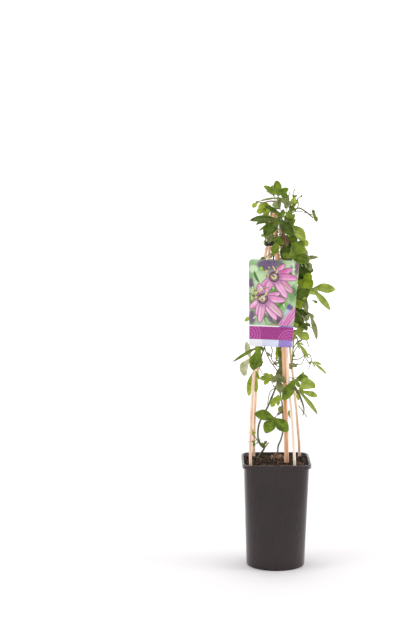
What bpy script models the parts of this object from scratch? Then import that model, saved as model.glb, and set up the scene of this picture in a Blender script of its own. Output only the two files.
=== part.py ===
"""A young passion flower plant in its nursery pot.

Two twining stems rise from potting soil in a square-topped pot. They climb inside five canes that
lean together and are held by a tie, and a picture label hangs in front from a hook on the tie.
Lengths in the tables are centimetres, +Z is up, and the origin is the middle of the pot's foot.
"""
import math

import bmesh
import bpy
from mathutils import Vector, noise

CM = 0.01
GAP = 0.0003
TAU = 2 * math.pi

# Pot: a round foot lofted to a rounded square wall, with a folded rim.
FOOT_RADIUS = 5.9
POT_HEIGHT = 21.7
WALL = 0.15
FLOOR = 0.3
WALL_TOP_HALF = 6.45
WALL_TOP_CORNER = 2.0
RIM_HALF = 6.9
RIM_CORNER = 2.2
SKIRT_DROP = 0.85
LIP_INNER_HALF = 6.5
CORNER_STEPS = 5
DRAIN_COUNT = 8
DRAIN_RADIUS = 0.4
DRAIN_CIRCLE = 4.3

# Soil: fills the pot to a lumpy top a little under the rim.
SOIL_LEVEL = 20.5
SOIL_MOUND = 0.8
SOIL_LUMP = 0.35
SOIL_RINGS = (0.97, 0.82, 0.66, 0.5, 0.34, 0.17)
PLUG_CENTRE = (0.3, 0.9, 21.5)
PLUG_RADII = (1.45, 1.3, 1.15)
PLUG_SOCKET = 0.05
LUMPINESS = 0.08
BORE_GAP = 0.02
BORE_TOP = SOIL_LEVEL + 4

# Canes: radius, then centreline points from the buried end to the tip.
CANES = {
    "cane_front_left": (0.30, [(-4.8, -4.7, 14.0), (-5.25, -5.2, 21.2), (-5.2, -4.6, 28.6),
                               (-4.55, -3.3, 40.2), (-2.6, -1.35, 61.0), (-1.95, -0.8, 65.5),
                               (-1.35, -0.3, 71.2)]),
    "cane_back_left": (0.30, [(-4.1, 4.3, 14.0), (-4.35, 4.6, 21.5), (-4.2, 4.0, 30.0),
                              (-3.6, 3.0, 40.0), (-1.75, 0.95, 61.0), (-1.4, 0.55, 65.5),
                              (-1.0, 0.25, 70.6)]),
    "cane_centre": (0.45, [(1.9, -2.8, 12.0), (2.02, -2.8, 21.6), (1.8, -2.4, 32.2),
                           (1.36, -1.8, 44.3), (0.1, -0.8, 61.5), (-0.2, -0.6, 65.5),
                           (-0.6, -0.5, 71.6)]),
    "cane_front_right": (0.28, [(3.4, -4.8, 14.0), (3.54, -5.2, 21.4), (3.1, -4.5, 29.0),
                                (2.25, -3.4, 39.3), (1.85, -2.2, 49.0), (1.0, -0.5, 62.5),
                                (0.8, -0.2, 65.5), (0.6, 0.1, 69.6)]),
    "cane_back_right": (0.28, [(4.5, 4.4, 14.0), (5.01, 4.8, 21.5), (4.6, 4.1, 28.0),
                               (3.3, 2.9, 40.0), (2.0, 1.9, 52.0), (0.4, 0.85, 62.5),
                               (0.0, 0.6, 65.5), (-0.3, 0.45, 70.2)]),
}
CANE_STEP = 7.0
TIE_HEIGHT = 65.5
TIE_BAND = 0.9
TIE_THICKNESS = 0.12
TIE_CLEARANCE = 0.09
TIE_SIDES = 28

# Label: a card wider at the top, hung slightly askew against the canes.
LABEL_TOP_WIDTH = 10.1
LABEL_FOOT_WIDTH = 8.5
LABEL_LENGTH = 17.2
LABEL_THICKNESS = 0.07
LABEL_HOLE = (-0.65, -1.98, 61.8)
LABEL_HOLE_INSET = 0.55
LABEL_HOLE_RADIUS = 0.3
LABEL_ROLL = math.radians(2.3)
LABEL_LEAN = math.radians(5.2)
LABEL_CORNER = 0.8
HOOK_RADIUS = 0.06
HOOK_LEAD = 0.35
HOOK_FRONT = -1.41
HOOK_END = -1.14
HOOK_TOP = TIE_HEIGHT + TIE_BAND / 2 + 0.15

# Stems: radius, then the route from the soil to the tip.
STEMS = {
    "main_stem": (0.19, [(-3.4, 2.7, 17.5), (-3.6, 2.4, 20.9), (-2.9, 1.3, 22.7), (-2.4, 0.3, 23.8),
                         (-3.1, -0.5, 24.7), (-3.6, -0.9, 26.0), (-3.7, -1.1, 27.4),
                         (-3.5, -1.2, 29.0), (-2.9, -1.3, 30.5), (-1.8, -1.2, 32.5),
                         (-0.5, -1.0, 35.6), (0.4, -0.7, 38.0), (0.7, -0.4, 41.0),
                         (0.7, -0.2, 46.0), (0.3, 0.2, 52.0), (-0.3, 0.6, 58.0),
                         (-0.6, 1.3, 62.0), (-0.7, 1.42, 65.5), (-0.7, 1.25, 68.0),
                         (-0.6, 1.1, 70.5), (-0.2, 0.7, 72.5), (0.1, 0.3, 74.2)]),
    "second_stem": (0.16, [(0.4, 0.9, 22.68), (0.5, 0.8, 24.2), (1.0, 0.3, 25.6), (1.4, 0.0, 27.5),
                           (1.4, -0.4, 30.0), (1.2, -0.4, 33.0), (0.6, 0.3, 37.0),
                           (1.2, 0.5, 41.0), (1.4, 0.4, 46.0), (1.0, 0.8, 52.0),
                           (1.3, 0.3, 56.5), (1.9, -0.2, 59.0), (1.9, -0.8, 61.0),
                           (1.6, -1.15, 63.5), (1.5, -1.2, 65.5), (1.4, -0.9, 68.5),
                           (1.9, -0.3, 71.0), (2.8, -0.2, 73.0)]),
}

# Side shoots: radius, the stem and the height they leave it at, and the rest of the route.
SHOOTS = {
    "left_shoot": (0.11, "main_stem", 46.8, [(-1.2, -0.9, 47.3), (-2.6, -1.4, 46.8),
                                             (-3.4, -2.0, 45.6), (-3.6, -1.8, 43.5),
                                             (-3.3, -1.6, 41.5)]),
    "right_shoot": (0.11, "second_stem", 48.4, [(2.6, -0.2, 48.7), (3.5, -0.7, 47.6),
                                                (4.5, -1.1, 45.4), (5.6, -1.5, 43.0),
                                                (6.7, -1.8, 41.3)]),
}
STEM_STEP = 2.0
CUT_STUB = [(-2.45, 0.3, 23.75), (-2.0, 0.1, 24.4), (-1.5, -0.1, 25.1)]
CUT_STUB_RADIUS = 0.13

# Leaves: the stem and the height they leave it at, the point where the lobes meet, the side that
# faces out, and each lobe as (tip, width).
LEAVES = {
    # top of the plant
    "leaf_crown": ("main_stem", 73.2, (0.15, -1.0, 75.2), (0.0, -0.95, 0.3),
                   [((-2.8, -1.3, 77.0), 1.1), ((-0.15, -0.7, 78.05), 1.7),
                    ((2.2, -1.2, 76.5), 1.3)]),
    "leaf_crown_back": ("main_stem", 73.7, (-0.6, 1.0, 74.9), (-0.2, 0.6, 0.7),
                        [((-2.2, 1.7, 75.8), 0.9), ((-1.0, 1.6, 77.0), 1.0), ((0.8, 2.2, 76.3), 0.9)]),
    "leaf_under_crown": ("main_stem", 72.4, (0.5, -0.95, 74.6), (-0.1, 0.9, 0.35),
                         [((-3.6, -0.3, 73.9), 0.5), ((-0.6, -1.3, 72.6), 2.2),
                          ((1.8, -1.0, 73.5), 1.1)]),
    "leaf_top_left": ("main_stem", 71.5, (-1.6, 1.5, 72.1), (-0.2, -0.85, 0.45),
                      [((-2.7, 1.8, 73.5), 1.3), ((-4.1, 1.5, 71.6), 1.7), ((-2.6, 1.2, 70.4), 1.4)]),
    "leaf_spread": ("second_stem", 69.3, (0.3, -2.0, 70.3), (-0.1, -0.75, 0.65),
                    [((-5.5, -2.6, 70.2), 1.7), ((-2.6, -3.7, 67.2), 2.9), ((2.9, -3.5, 67.3), 2.4)]),
    "leaf_spread_under": ("main_stem", 68.6, (-1.8, 0.4, 69.5), (-0.2, -0.75, 0.65),
                          [((-4.2, -0.8, 69.2), 1.5), ((-3.6, 0.6, 68.0), 1.4),
                           ((-3.2, 1.6, 70.0), 1.0)]),
    "leaf_top_right": ("second_stem", 68.6, (2.3, -0.8, 69.3), (0.3, -0.85, 0.45),
                       [((3.6, -1.2, 70.4), 1.2), ((5.5, -1.6, 65.9), 2.6), ((2.2, -1.6, 66.9), 1.6)]),
    "leaf_arching": ("second_stem", 71.9, (7.25, -0.2, 71.1), (0.4, -0.9, 0.1),
                     [((7.05, -0.3, 72.3), 0.7), ((7.95, -0.1, 69.8), 0.9), ((7.7, 0.5, 71.3), 0.6)]),
    "leaf_upright": ("second_stem", 71.4, (1.9, -1.1, 72.6), (-0.2, -0.95, 0.2),
                     [((1.3, -1.5, 73.9), 0.6), ((2.1, -1.1, 75.1), 0.9), ((2.9, -1.4, 74.1), 0.6)]),
    "leaf_upright_low": ("second_stem", 69.9, (2.4, -1.5, 70.4), (0.2, -0.9, 0.2),
                         [((1.7, -1.8, 71.8), 0.9), ((2.5, -1.7, 72.6), 0.9), ((3.5, -1.6, 71.4), 0.8)]),
    "leaf_bud": ("second_stem", 72.7, (3.3, -0.6, 73.3), (0.3, -0.9, 0.3),
                 [((2.8, -0.8, 74.5), 0.6), ((3.5, -0.7, 74.8), 0.6), ((4.2, -0.6, 73.9), 0.6)]),
    # between the tie and the label
    "leaf_tie_left": ("second_stem", 67.3, (-1.2, -2.0, 67.1), (-0.2, -0.9, 0.4),
                      [((-1.7, -2.3, 68.3), 0.9), ((-2.6, -2.4, 66.7), 1.1), ((-1.8, -2.7, 65.7), 1.0)]),
    "leaf_tie_front": ("second_stem", 66.6, (0.15, -2.3, 66.9), (-0.1, -0.95, 0.2),
                       [((-1.0, -2.8, 66.1), 1.0), ((-0.8, -2.7, 63.3), 1.8), ((1.1, -2.7, 65.4), 1.2)]),
    "leaf_tie_right": ("second_stem", 67.5, (2.5, 0.2, 67.4), (0.3, -0.85, 0.4),
                       [((2.6, -0.6, 64.5), 1.5), ((3.9, 0.3, 65.4), 1.5), ((3.7, 1.4, 67.6), 1.1)]),
    "leaf_neck": ("second_stem", 62.2, (2.6, -1.6, 62.9), (0.15, -0.95, 0.25),
                  [((5.2, -2.4, 66.2), 2.6), ((6.4, -1.7, 62.2), 2.2), ((0.9, -1.7, 63.4), 1.2)]),
    "leaf_neck_far": ("second_stem", 60.4, (5.2, 0.3, 62.3), (0.25, -0.85, 0.45),
                      [((5.6, 1.2, 64.4), 1.6), ((8.3, 0.1, 62.7), 0.9), ((6.9, 0.4, 60.0), 1.7)]),
    # right of the label
    "leaf_right_top": ("second_stem", 59.0, (4.6, 0.8, 60.4), (0.3, -0.9, 0.3),
                       [((4.2, 0.7, 57.4), 2.0), ((6.6, 0.4, 57.1), 2.6), ((7.4, 0.8, 59.9), 1.8)]),
    "leaf_right_bright": ("second_stem", 57.5, (5.3, -1.2, 58.3), (0.1, -0.95, 0.3),
                          [((4.2, -1.7, 57.2), 1.4), ((6.9, -2.6, 56.8), 2.4), ((7.0, -1.7, 59.2), 1.8)]),
    "leaf_right_reaching": ("second_stem", 56.0, (6.9, -1.7, 56.5), (0.05, -0.85, 0.5),
                            [((3.6, -1.7, 55.0), 3.3), ((10.6, -2.1, 52.3), 1.4),
                             ((11.6, -1.8, 56.4), 2.2)]),
    "leaf_right_inner": ("second_stem", 54.5, (4.4, -0.2, 54.5), (0.2, -0.9, 0.3),
                         [((3.2, -0.6, 53.2), 1.4), ((4.7, -0.7, 52.3), 1.7), ((5.9, -0.4, 53.7), 1.5)]),
    "leaf_right_dark": ("second_stem", 52.2, (4.8, 0.7, 52.2), (0.2, -0.9, 0.3),
                        [((3.4, 0.2, 50.2), 2.1), ((4.6, 0.0, 48.9), 2.5), ((6.1, 0.4, 50.4), 1.9)]),
    "leaf_right_hanging": ("second_stem", 53.6, (6.6, -0.7, 51.5), (0.3, -0.9, 0.3),
                           [((5.6, -0.9, 49.9), 1.0), ((8.0, -1.3, 46.3), 1.1), ((7.4, -0.6, 50.5), 0.7)]),
    "leaf_right_small": ("second_stem", 54.0, (5.4, -2.0, 49.6), (0.1, -0.9, 0.4),
                         [((4.8, -2.3, 48.6), 0.8), ((5.9, -2.5, 48.2), 0.9), ((6.7, -2.2, 49.2), 0.8)]),
    "leaf_right_low": ("right_shoot", 47.9, (3.7, -1.6, 47.9), (0.1, -0.9, 0.4),
                       [((5.5, -1.4, 48.6), 1.3), ((6.5, -1.9, 46.5), 2.1), ((3.0, -1.6, 46.0), 1.1)]),
    "leaf_trailing": ("right_shoot", 45.8, (3.9, -2.4, 45.9), (0.2, -0.9, 0.4),
                      [((4.5, -2.8, 44.5), 0.4), ((6.3, -3.0, 42.7), 0.9), ((5.4, -2.3, 45.3), 0.4)]),
    "leaf_trailing_tip": ("right_shoot", 41.7, (7.0, -2.0, 41.9), (0.2, -0.85, 0.5),
                          [((7.6, -2.3, 40.9), 0.4), ((10.0, -2.4, 39.4), 0.6), ((9.0, -1.9, 41.3), 0.6)]),
    # the two low clusters and the big front leaf
    "leaf_low_right": ("second_stem", 38.6, (3.6, -4.4, 38.6), (-0.05, -0.9, 0.4),
                       [((1.2, -5.0, 34.6), 2.2), ((4.4, -4.8, 37.2), 0.9), ((6.2, -4.0, 39.1), 1.8)]),
    "leaf_low_right_far": ("second_stem", 37.0, (4.2, -5.7, 36.7), (0.05, -0.85, 0.5),
                           [((7.5, -6.3, 38.0), 3.7), ((8.0, -5.0, 35.4), 1.5), ((8.0, -5.6, 31.9), 0.9)]),
    "leaf_left_dark": ("left_shoot", 45.4, (-3.3, -3.1, 45.3), (-0.2, -0.92, 0.3),
                       [((-8.9, -4.4, 42.2), 0.7), ((-4.8, -4.9, 40.6), 2.8), ((-2.6, -3.3, 44.2), 0.7)]),
    "leaf_left_light": ("left_shoot", 43.6, (-5.3, -1.6, 42.6), (-0.3, -0.9, 0.3),
                        [((-6.1, -2.3, 46.1), 1.3), ((-6.6, -2.3, 39.1), 2.8), ((-5.1, -1.6, 40.6), 0.9)]),
    "leaf_left_hanging": ("left_shoot", 41.8, (-4.4, -1.2, 40.2), (-0.2, -0.92, 0.25),
                          [((-5.6, -1.7, 34.9), 1.6), ((-4.1, -1.4, 35.6), 1.5), ((-3.4, -1.2, 38.2), 0.7)]),
    "leaf_small_left": ("main_stem", 36.6, (-1.5, -1.9, 38.6), (-0.1, -0.92, 0.4),
                        [((-2.5, -2.3, 37.3), 1.1), ((-3.4, -2.1, 38.5), 1.2), ((-2.5, -1.8, 39.6), 1.0)]),
    "leaf_grey_hanging": ("main_stem", 39.8, (0.2, -2.3, 39.4), (0.0, -0.95, 0.25),
                          [((-0.8, -2.7, 37.8), 1.2), ((0.8, -3.2, 35.7), 1.9), ((1.8, -3.3, 37.8), 1.2)]),
    "leaf_young": ("main_stem", 34.2, (0.3, -2.2, 35.1), (-0.2, -0.9, 0.3),
                   [((-1.1, -2.7, 32.8), 1.4), ((0.3, -2.9, 33.1), 0.9), ((1.1, -2.9, 34.1), 0.8)]),
    "leaf_low_front": ("second_stem", 31.6, (-0.5, -3.4, 30.7), (-0.05, -0.85, 0.5),
                       [((-4.5, -3.9, 31.7), 2.3), ((-2.3, -5.1, 28.0), 2.5), ((2.2, -4.8, 28.2), 2.5)]),
    "leaf_low_small": ("main_stem", 25.4, (-4.8, -0.2, 26.8), (-0.3, -0.8, 0.4),
                       [((-5.5, -0.5, 27.3), 0.6), ((-4.8, -0.4, 28.1), 0.6), ((-4.1, -0.4, 27.3), 0.6)]),
    # the far side
    "leaf_back_neck": ("main_stem", 66.6, (-0.4, 2.6, 66.4), (0.0, 0.7, 0.7),
                       [((-2.4, 3.6, 64.8), 1.8), ((-0.2, 5.6, 64.2), 2.2), ((2.4, 4.6, 65.6), 1.8)]),
    "leaf_back_upper": ("second_stem", 58.6, (1.7, 3.2, 60.6), (0.2, 0.7, 0.7),
                        [((-1.2, 4.6, 59.6), 1.8), ((1.6, 6.7, 58.0), 2.4), ((4.6, 4.9, 59.2), 1.9)]),
    "leaf_back_left": ("main_stem", 56.4, (-2.4, 2.6, 56.6), (-0.6, 0.4, 0.7),
                       [((-3.9, 1.2, 54.6), 1.7), ((-4.9, 4.4, 54.8), 2.1), ((-2.6, 6.1, 55.4), 1.9)]),
    "leaf_back_middle": ("second_stem", 51.0, (2.0, 4.2, 51.6), (0.3, 0.7, 0.65),
                         [((-0.9, 5.2, 50.2), 1.8), ((2.0, 7.5, 48.8), 2.4), ((5.3, 5.2, 50.2), 1.9)]),
    "leaf_left_middle": ("main_stem", 50.6, (-4.0, -0.6, 50.9), (-0.5, -0.5, 0.7),
                         [((-6.5, -1.2, 49.9), 1.5), ((-6.0, 1.7, 49.6), 1.6), ((-3.4, 1.9, 49.9), 1.2)]),
    "leaf_back_low": ("main_stem", 46.6, (-0.9, 3.9, 47.4), (-0.2, 0.7, 0.7),
                      [((-3.5, 5.3, 46.2), 1.9), ((-0.7, 7.1, 45.4), 2.3), ((2.0, 5.9, 46.4), 1.8)]),
}
BLADE_THICKNESS = 0.06
PETIOLE_RADIUS = 0.09
PETIOLE_STUB = 0.3
PETIOLE_RISE = 0.1
PETIOLE_BACK = 0.25
PETIOLE_MOST_BACK = 0.6
PETIOLE_THROUGH = 0.05
LOBE_ARCH = 0.07
LOBE_FOLD = 0.16
LOBE_BASE = 1.1
LOBE_POINT = 0.65
LOBE_WIDEST = 0.53
HUB_SHARE = 0.24
LOBE_ROWS = (HUB_SHARE, 0.55, 0.82)
BASE_RADIUS = 0.25
BASE_TURN = math.radians(70)
WEB_ANGLE = math.radians(150)
WIDEST = math.radians(75)

# Tendrils: the stem they leave and its height, the reach, then a coil at the end as
# (radius, turns, length) or None.
TENDRILS = {
    "tendril_top": ("second_stem", 72.3, [(3.3, 0.4, 73.2), (3.5, 0.5, 74.6), (3.4, 0.3, 76.0)], None),
    "tendril_right": ("right_shoot", 46.8, [(4.5, -0.3, 46.2), (5.6, 0.1, 44.8), (6.2, 0.2, 43.6)],
                      (0.45, 1.8, 0.8)),
    "tendril_low_right": ("second_stem", 35.4, [(2.6, -0.9, 35.4), (4.4, -1.3, 34.6), (5.3, -1.5, 32.0),
                                                (5.2, -1.5, 30.6)], None),
}
TENDRIL_RADIUS = 0.05


def vec(point):
    """A table point in centimetres as a vector in metres."""
    return Vector(point) * CM


def clear_scene():
    for obj in list(bpy.data.objects):
        bpy.data.objects.remove(obj, do_unlink=True)


def new_collection(name):
    collection = bpy.data.collections.new(name)
    bpy.context.scene.collection.children.link(collection)
    return collection


def material(name, color, roughness):
    mat = bpy.data.materials.new(name)
    mat.use_nodes = True
    shader = mat.node_tree.nodes["Principled BSDF"]
    shader.inputs["Base Color"].default_value = (*color, 1.0)
    shader.inputs["Roughness"].default_value = roughness
    shader.inputs["Metallic"].default_value = 0.0
    return mat


def mesh_object(name, bm, collection, mat=None):
    mesh = bpy.data.meshes.new(name)
    bmesh.ops.recalc_face_normals(bm, faces=bm.faces)
    bm.to_mesh(mesh)
    bm.free()
    obj = bpy.data.objects.new(name, mesh)
    collection.objects.link(obj)
    if mat:
        mesh.materials.append(mat)
    return obj


def as_cutter(obj):
    obj.hide_render = True
    obj.display_type = "WIRE"
    return obj


def boolean(obj, other, operation):
    modifier = obj.modifiers.new(operation.title() + "_" + other.name, "BOOLEAN")
    modifier.operation = operation
    modifier.solver = "EXACT"
    modifier.object = other


def spline_points(points, step):
    """Points about `step` apart on a smooth curve through the given ones."""
    ends = [points[0] * 2 - points[1], *points, points[-1] * 2 - points[-2]]
    path = []
    for i in range(1, len(ends) - 2):
        a, b, c, d = ends[i - 1:i + 3]
        count = max(1, round((c - b).length / step))
        for k in range(count):
            t = k / count
            path.append(0.5 * (2 * b + (c - a) * t + (2 * a - 5 * b + 4 * c - d) * t ** 2
                               + (3 * b - a - 3 * c + d) * t ** 3))
    return path + [points[-1]]


def tube(name, path, radius, collection, mat=None, sides_level=1):
    """A round bar along a path, as a closed mesh."""
    curve = bpy.data.curves.new(name, "CURVE")
    curve.dimensions = "3D"
    curve.bevel_depth = radius
    curve.bevel_resolution = sides_level
    curve.use_fill_caps = True
    spline = curve.splines.new("POLY")
    spline.points.add(len(path) - 1)
    for point, position in zip(spline.points, path):
        point.co = (*position, 1.0)
    drawn = bpy.data.objects.new(name + "_curve", curve)
    collection.objects.link(drawn)
    evaluated = drawn.evaluated_get(bpy.context.evaluated_depsgraph_get())
    mesh = bpy.data.meshes.new_from_object(evaluated)
    bpy.data.objects.remove(drawn, do_unlink=True)
    bm = bmesh.new()
    bm.from_mesh(mesh)
    bpy.data.meshes.remove(mesh)
    bmesh.ops.remove_doubles(bm, verts=bm.verts, dist=1e-6)
    obj = mesh_object(name, bm, collection, mat)
    obj.data.shade_smooth()
    return obj


def rounded_square(half, corner, height):
    """A level loop of points, counter-clockwise, whose corners are arcs."""
    loop = []
    for quarter in range(4):
        start = quarter * math.pi / 2
        across = half - corner
        centre = (across * (1 if quarter in (0, 3) else -1), across * (1 if quarter < 2 else -1))
        for i in range(CORNER_STEPS + 1):
            angle = start + i * math.pi / 2 / CORNER_STEPS
            loop.append(vec((centre[0] + corner * math.cos(angle),
                             centre[1] + corner * math.sin(angle), height)))
    return loop


def loft(bm, loops):
    """Join successive loops with side faces and return their vertex rings."""
    rings = [[bm.verts.new(point) for point in loop] for loop in loops]
    for lower, upper in zip(rings, rings[1:]):
        for i in range(len(lower)):
            j = (i + 1) % len(lower)
            bm.faces.new((lower[i], lower[j], upper[j], upper[i]))
    return rings


def wall_section(height, inset):
    """The pot wall's outline at a height, moved in by `inset`."""
    rise = height / (POT_HEIGHT - SKIRT_DROP)
    half = FOOT_RADIUS + (WALL_TOP_HALF - FOOT_RADIUS) * rise
    corner = FOOT_RADIUS + (WALL_TOP_CORNER - FOOT_RADIUS) * min(1.0, rise)
    return rounded_square(half - inset, corner - inset, height)


def build_pot(parts, cutters):
    skirt_foot = POT_HEIGHT - SKIRT_DROP
    bm = bmesh.new()
    loops = [
        rounded_square(FOOT_RADIUS - 0.2, FOOT_RADIUS - 0.2, 0.0),
        wall_section(0.25, 0.0),
        wall_section(skirt_foot / 2, 0.0),
        wall_section(skirt_foot, 0.0),
        rounded_square(RIM_HALF - 0.05, RIM_CORNER, skirt_foot),
        rounded_square(RIM_HALF, RIM_CORNER, POT_HEIGHT - 0.08),
        rounded_square(RIM_HALF - 0.08, RIM_CORNER - 0.08, POT_HEIGHT),
        rounded_square(LIP_INNER_HALF, RIM_CORNER - 0.3, POT_HEIGHT),
        wall_section(skirt_foot, WALL),
        wall_section(skirt_foot / 2, WALL),
        wall_section(FLOOR, WALL),
    ]
    rings = loft(bm, loops)
    bm.faces.new(reversed(rings[0]))
    bm.faces.new(rings[-1])
    pot = mesh_object("pot", bm, parts, material("pot_plastic", (0.07, 0.055, 0.05), 0.45))
    for i in range(DRAIN_COUNT):
        angle = (i + 0.5) * TAU / DRAIN_COUNT
        bm = bmesh.new()
        bmesh.ops.create_cone(bm, cap_ends=True, segments=10, radius1=DRAIN_RADIUS * CM,
                              radius2=DRAIN_RADIUS * CM, depth=4 * FLOOR * CM)
        drain = as_cutter(mesh_object(f"drain_cutter_{i}", bm, cutters))
        drain.location = vec((DRAIN_CIRCLE * math.cos(angle), DRAIN_CIRCLE * math.sin(angle), 0.0))
        boolean(pot, drain, "DIFFERENCE")


def soil_height(x, y):
    """Height of the soil's top: level at the wall, mounded and lumpy inside."""
    reach = max(abs(x), abs(y)) / WALL_TOP_HALF
    mound = SOIL_MOUND * max(0.0, 1.0 - reach ** 2)
    return SOIL_LEVEL + mound + SOIL_LUMP * noise.noise(Vector((x * 0.9, y * 0.9, 3.1)))


def build_soil(parts):
    clearance = WALL + GAP / CM
    bm = bmesh.new()
    edge = wall_section(SOIL_LEVEL, clearance)
    loops = [wall_section(FLOOR + GAP / CM, clearance), wall_section(SOIL_LEVEL / 2, clearance), edge]
    for share in SOIL_RINGS:
        ring = []
        for point in edge:
            x, y = point.x * share / CM, point.y * share / CM
            ring.append(vec((x, y, soil_height(x, y))))
        loops.append(ring)
    rings = loft(bm, loops)
    bm.faces.new(reversed(rings[0]))
    middle = bm.verts.new(vec((0.0, 0.0, soil_height(0.0, 0.0))))
    top = rings[-1]
    for i in range(len(top)):
        bm.faces.new((top[i], top[(i + 1) % len(top)], middle))
    return mesh_object("soil", bm, parts, material("potting_soil", (0.05, 0.03, 0.02), 0.95))


def ellipsoid(name, centre, radii, collection, mat=None):
    bm = bmesh.new()
    bmesh.ops.create_icosphere(bm, subdivisions=2, radius=1.0)
    for vert in bm.verts:
        bump = 1.0 + LUMPINESS * noise.noise(vert.co * 2.0)
        vert.co = Vector(centre) * CM + Vector([vert.co[i] * radii[i] * bump for i in range(3)]) * CM
    return mesh_object(name, bm, collection, mat)


def plant_in_soil(path, radius, soil, cutters):
    """Bore the soil for a stick or stem, just past its buried foot and up into the open."""
    below = [p for p in path if p.z < BORE_TOP * CM]
    foot = below[0] - (below[1] - below[0]).normalized() * GAP
    head = path[len(below)]
    name = f"soil_bore_{len(cutters.objects)}"
    bore = as_cutter(tube(name, [foot, *below[1:], head], radius + BORE_GAP * CM + GAP, cutters))
    boolean(soil, bore, "DIFFERENCE")


def build_canes(parts, soil, cutters):
    bamboo = material("bamboo", (0.72, 0.45, 0.26), 0.5)
    for name, (radius, points) in CANES.items():
        path = spline_points([vec(p) for p in points], CANE_STEP * CM)
        tube(name, path, radius * CM, parts, bamboo)
        plant_in_soil(path, radius * CM, soil, cutters)


def point_at_height(path, height):
    """The first place where a path crosses a height, and its direction there."""
    for a, b in zip(path, path[1:]):
        low, high = sorted((a.z, b.z))
        if low <= height <= high and high > low:
            share = (height - a.z) / (b.z - a.z)
            return a.lerp(b, share), (b - a).normalized()
    raise ValueError(f"no point at height {height}")


def build_tie(parts):
    """A band around the canes where they come together."""
    centres = []
    for radius, points in CANES.values():
        path = spline_points([vec(p) for p in points], 2 * CM)
        centre, _ = point_at_height(path, TIE_HEIGHT * CM)
        centres.append((centre, radius * CM))
    bm = bmesh.new()
    loops = []
    inner = TIE_CLEARANCE * CM
    outer = inner + TIE_THICKNESS * CM
    for offset, level in ((inner, -0.5), (outer, -0.5), (outer, 0.5), (inner, 0.5), (inner, -0.5)):
        loop = []
        for i in range(TIE_SIDES):
            angle = i * TAU / TIE_SIDES
            out = Vector((math.cos(angle), math.sin(angle), 0.0))
            centre, radius = max(centres, key=lambda c: c[0].dot(out) + c[1])
            point = centre + out * (radius + offset)
            point.z += level * TIE_BAND * CM
            loop.append(point)
        loops.append(loop)
    loft(bm, loops)
    bmesh.ops.remove_doubles(bm, verts=bm.verts, dist=1e-6)
    mesh_object("cane_tie", bm, parts, material("tie_rubber", (0.02, 0.02, 0.02), 0.6))


def label_point(across, down):
    """A point of the label's middle surface, in centimetres from its hanging hole."""
    right = Vector((math.cos(LABEL_ROLL), 0.0, -math.sin(LABEL_ROLL)))
    lower = Vector((-math.sin(LABEL_ROLL), -math.tan(LABEL_LEAN), -math.cos(LABEL_ROLL)))
    return vec(LABEL_HOLE) + (right * across + lower * down) * CM


def build_label(parts, cutters):
    top, foot = -LABEL_HOLE_INSET, LABEL_LENGTH - LABEL_HOLE_INSET
    outline = []
    for side in (1, -1):
        centre = (side * (LABEL_TOP_WIDTH / 2 - LABEL_CORNER), top + LABEL_CORNER)
        arc = []
        for i in range(4):
            angle = i * math.pi / 6
            arc.append((centre[0] + side * LABEL_CORNER * math.cos(angle),
                        centre[1] - LABEL_CORNER * math.sin(angle)))
        outline += arc if side == 1 else arc[::-1]
    outline += [(-LABEL_FOOT_WIDTH / 2, foot), (LABEL_FOOT_WIDTH / 2, foot)]
    bm = bmesh.new()
    bm.faces.new([bm.verts.new(label_point(*p)) for p in outline])
    label = mesh_object("label", bm, parts, material("label_card", (0.8, 0.35, 0.65), 0.3))
    shell = label.modifiers.new("Thickness", "SOLIDIFY")
    shell.thickness = LABEL_THICKNESS * CM
    shell.offset = 0.0
    front = label_point(0.0, 0.0) + Vector((0.0, -1.0, 0.0)) * CM
    back = label_point(0.0, 0.0) + Vector((0.0, 1.0, 0.0)) * CM
    hole = as_cutter(tube("label_hole_cutter", [front, back], LABEL_HOLE_RADIUS * CM, cutters))
    boolean(label, hole, "DIFFERENCE")


def build_hook(parts):
    """A wire from the label's hole up to the tie, hooked over it."""
    x, y, z = LABEL_HOLE
    points = [(x, y + HOOK_LEAD, z - 0.02), (x, y - HOOK_LEAD, z + 0.02), (x - 0.02, y - HOOK_LEAD, z + 0.5),
              (x - 0.05, y - 0.1, z + 1.4), (x - 0.1, HOOK_FRONT, z + 2.6),
              (x - 0.1, HOOK_FRONT, HOOK_TOP - 0.05), (x - 0.1, HOOK_END, HOOK_TOP + 0.05)]
    path = spline_points([vec(p) for p in points], 0.5 * CM)
    tube("label_hook", path, HOOK_RADIUS * CM, parts, material("hook_wire", (0.02, 0.02, 0.02), 0.4))


def stem_path(name):
    """The centreline of a stem or a side shoot, and its radius."""
    if name in STEMS:
        radius, points = STEMS[name]
        return spline_points([vec(p) for p in points], STEM_STEP * CM), radius * CM
    radius, stem, height, points = SHOOTS[name]
    start, outward = leave_stem(stem, height, vec(points[0]))
    route = [start, start + outward * 3 * radius * CM, *(vec(p) for p in points)]
    return spline_points(route, STEM_STEP * CM), radius * CM


def build_plug(parts, soil, cutters):
    peat = material("plug_peat", (0.20, 0.14, 0.09), 0.95)
    ellipsoid("root_plug", PLUG_CENTRE, PLUG_RADII, parts, peat)
    socket = ellipsoid("plug_cutter", PLUG_CENTRE, [r + PLUG_SOCKET for r in PLUG_RADII], cutters)
    boolean(soil, as_cutter(socket), "DIFFERENCE")


def build_stems(parts, soil, cutters):
    bark = material("stem_green", (0.16, 0.24, 0.06), 0.55)
    for name in (*STEMS, *SHOOTS):
        path, radius = stem_path(name)
        stem = tube(name, path, radius, parts, bark)
        if name == "main_stem":
            stub = as_cutter(tube("cut_stub", [vec(p) for p in CUT_STUB], CUT_STUB_RADIUS * CM, cutters))
            boolean(stem, stub, "UNION")
            plant_in_soil(path, radius, soil, cutters)


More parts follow.
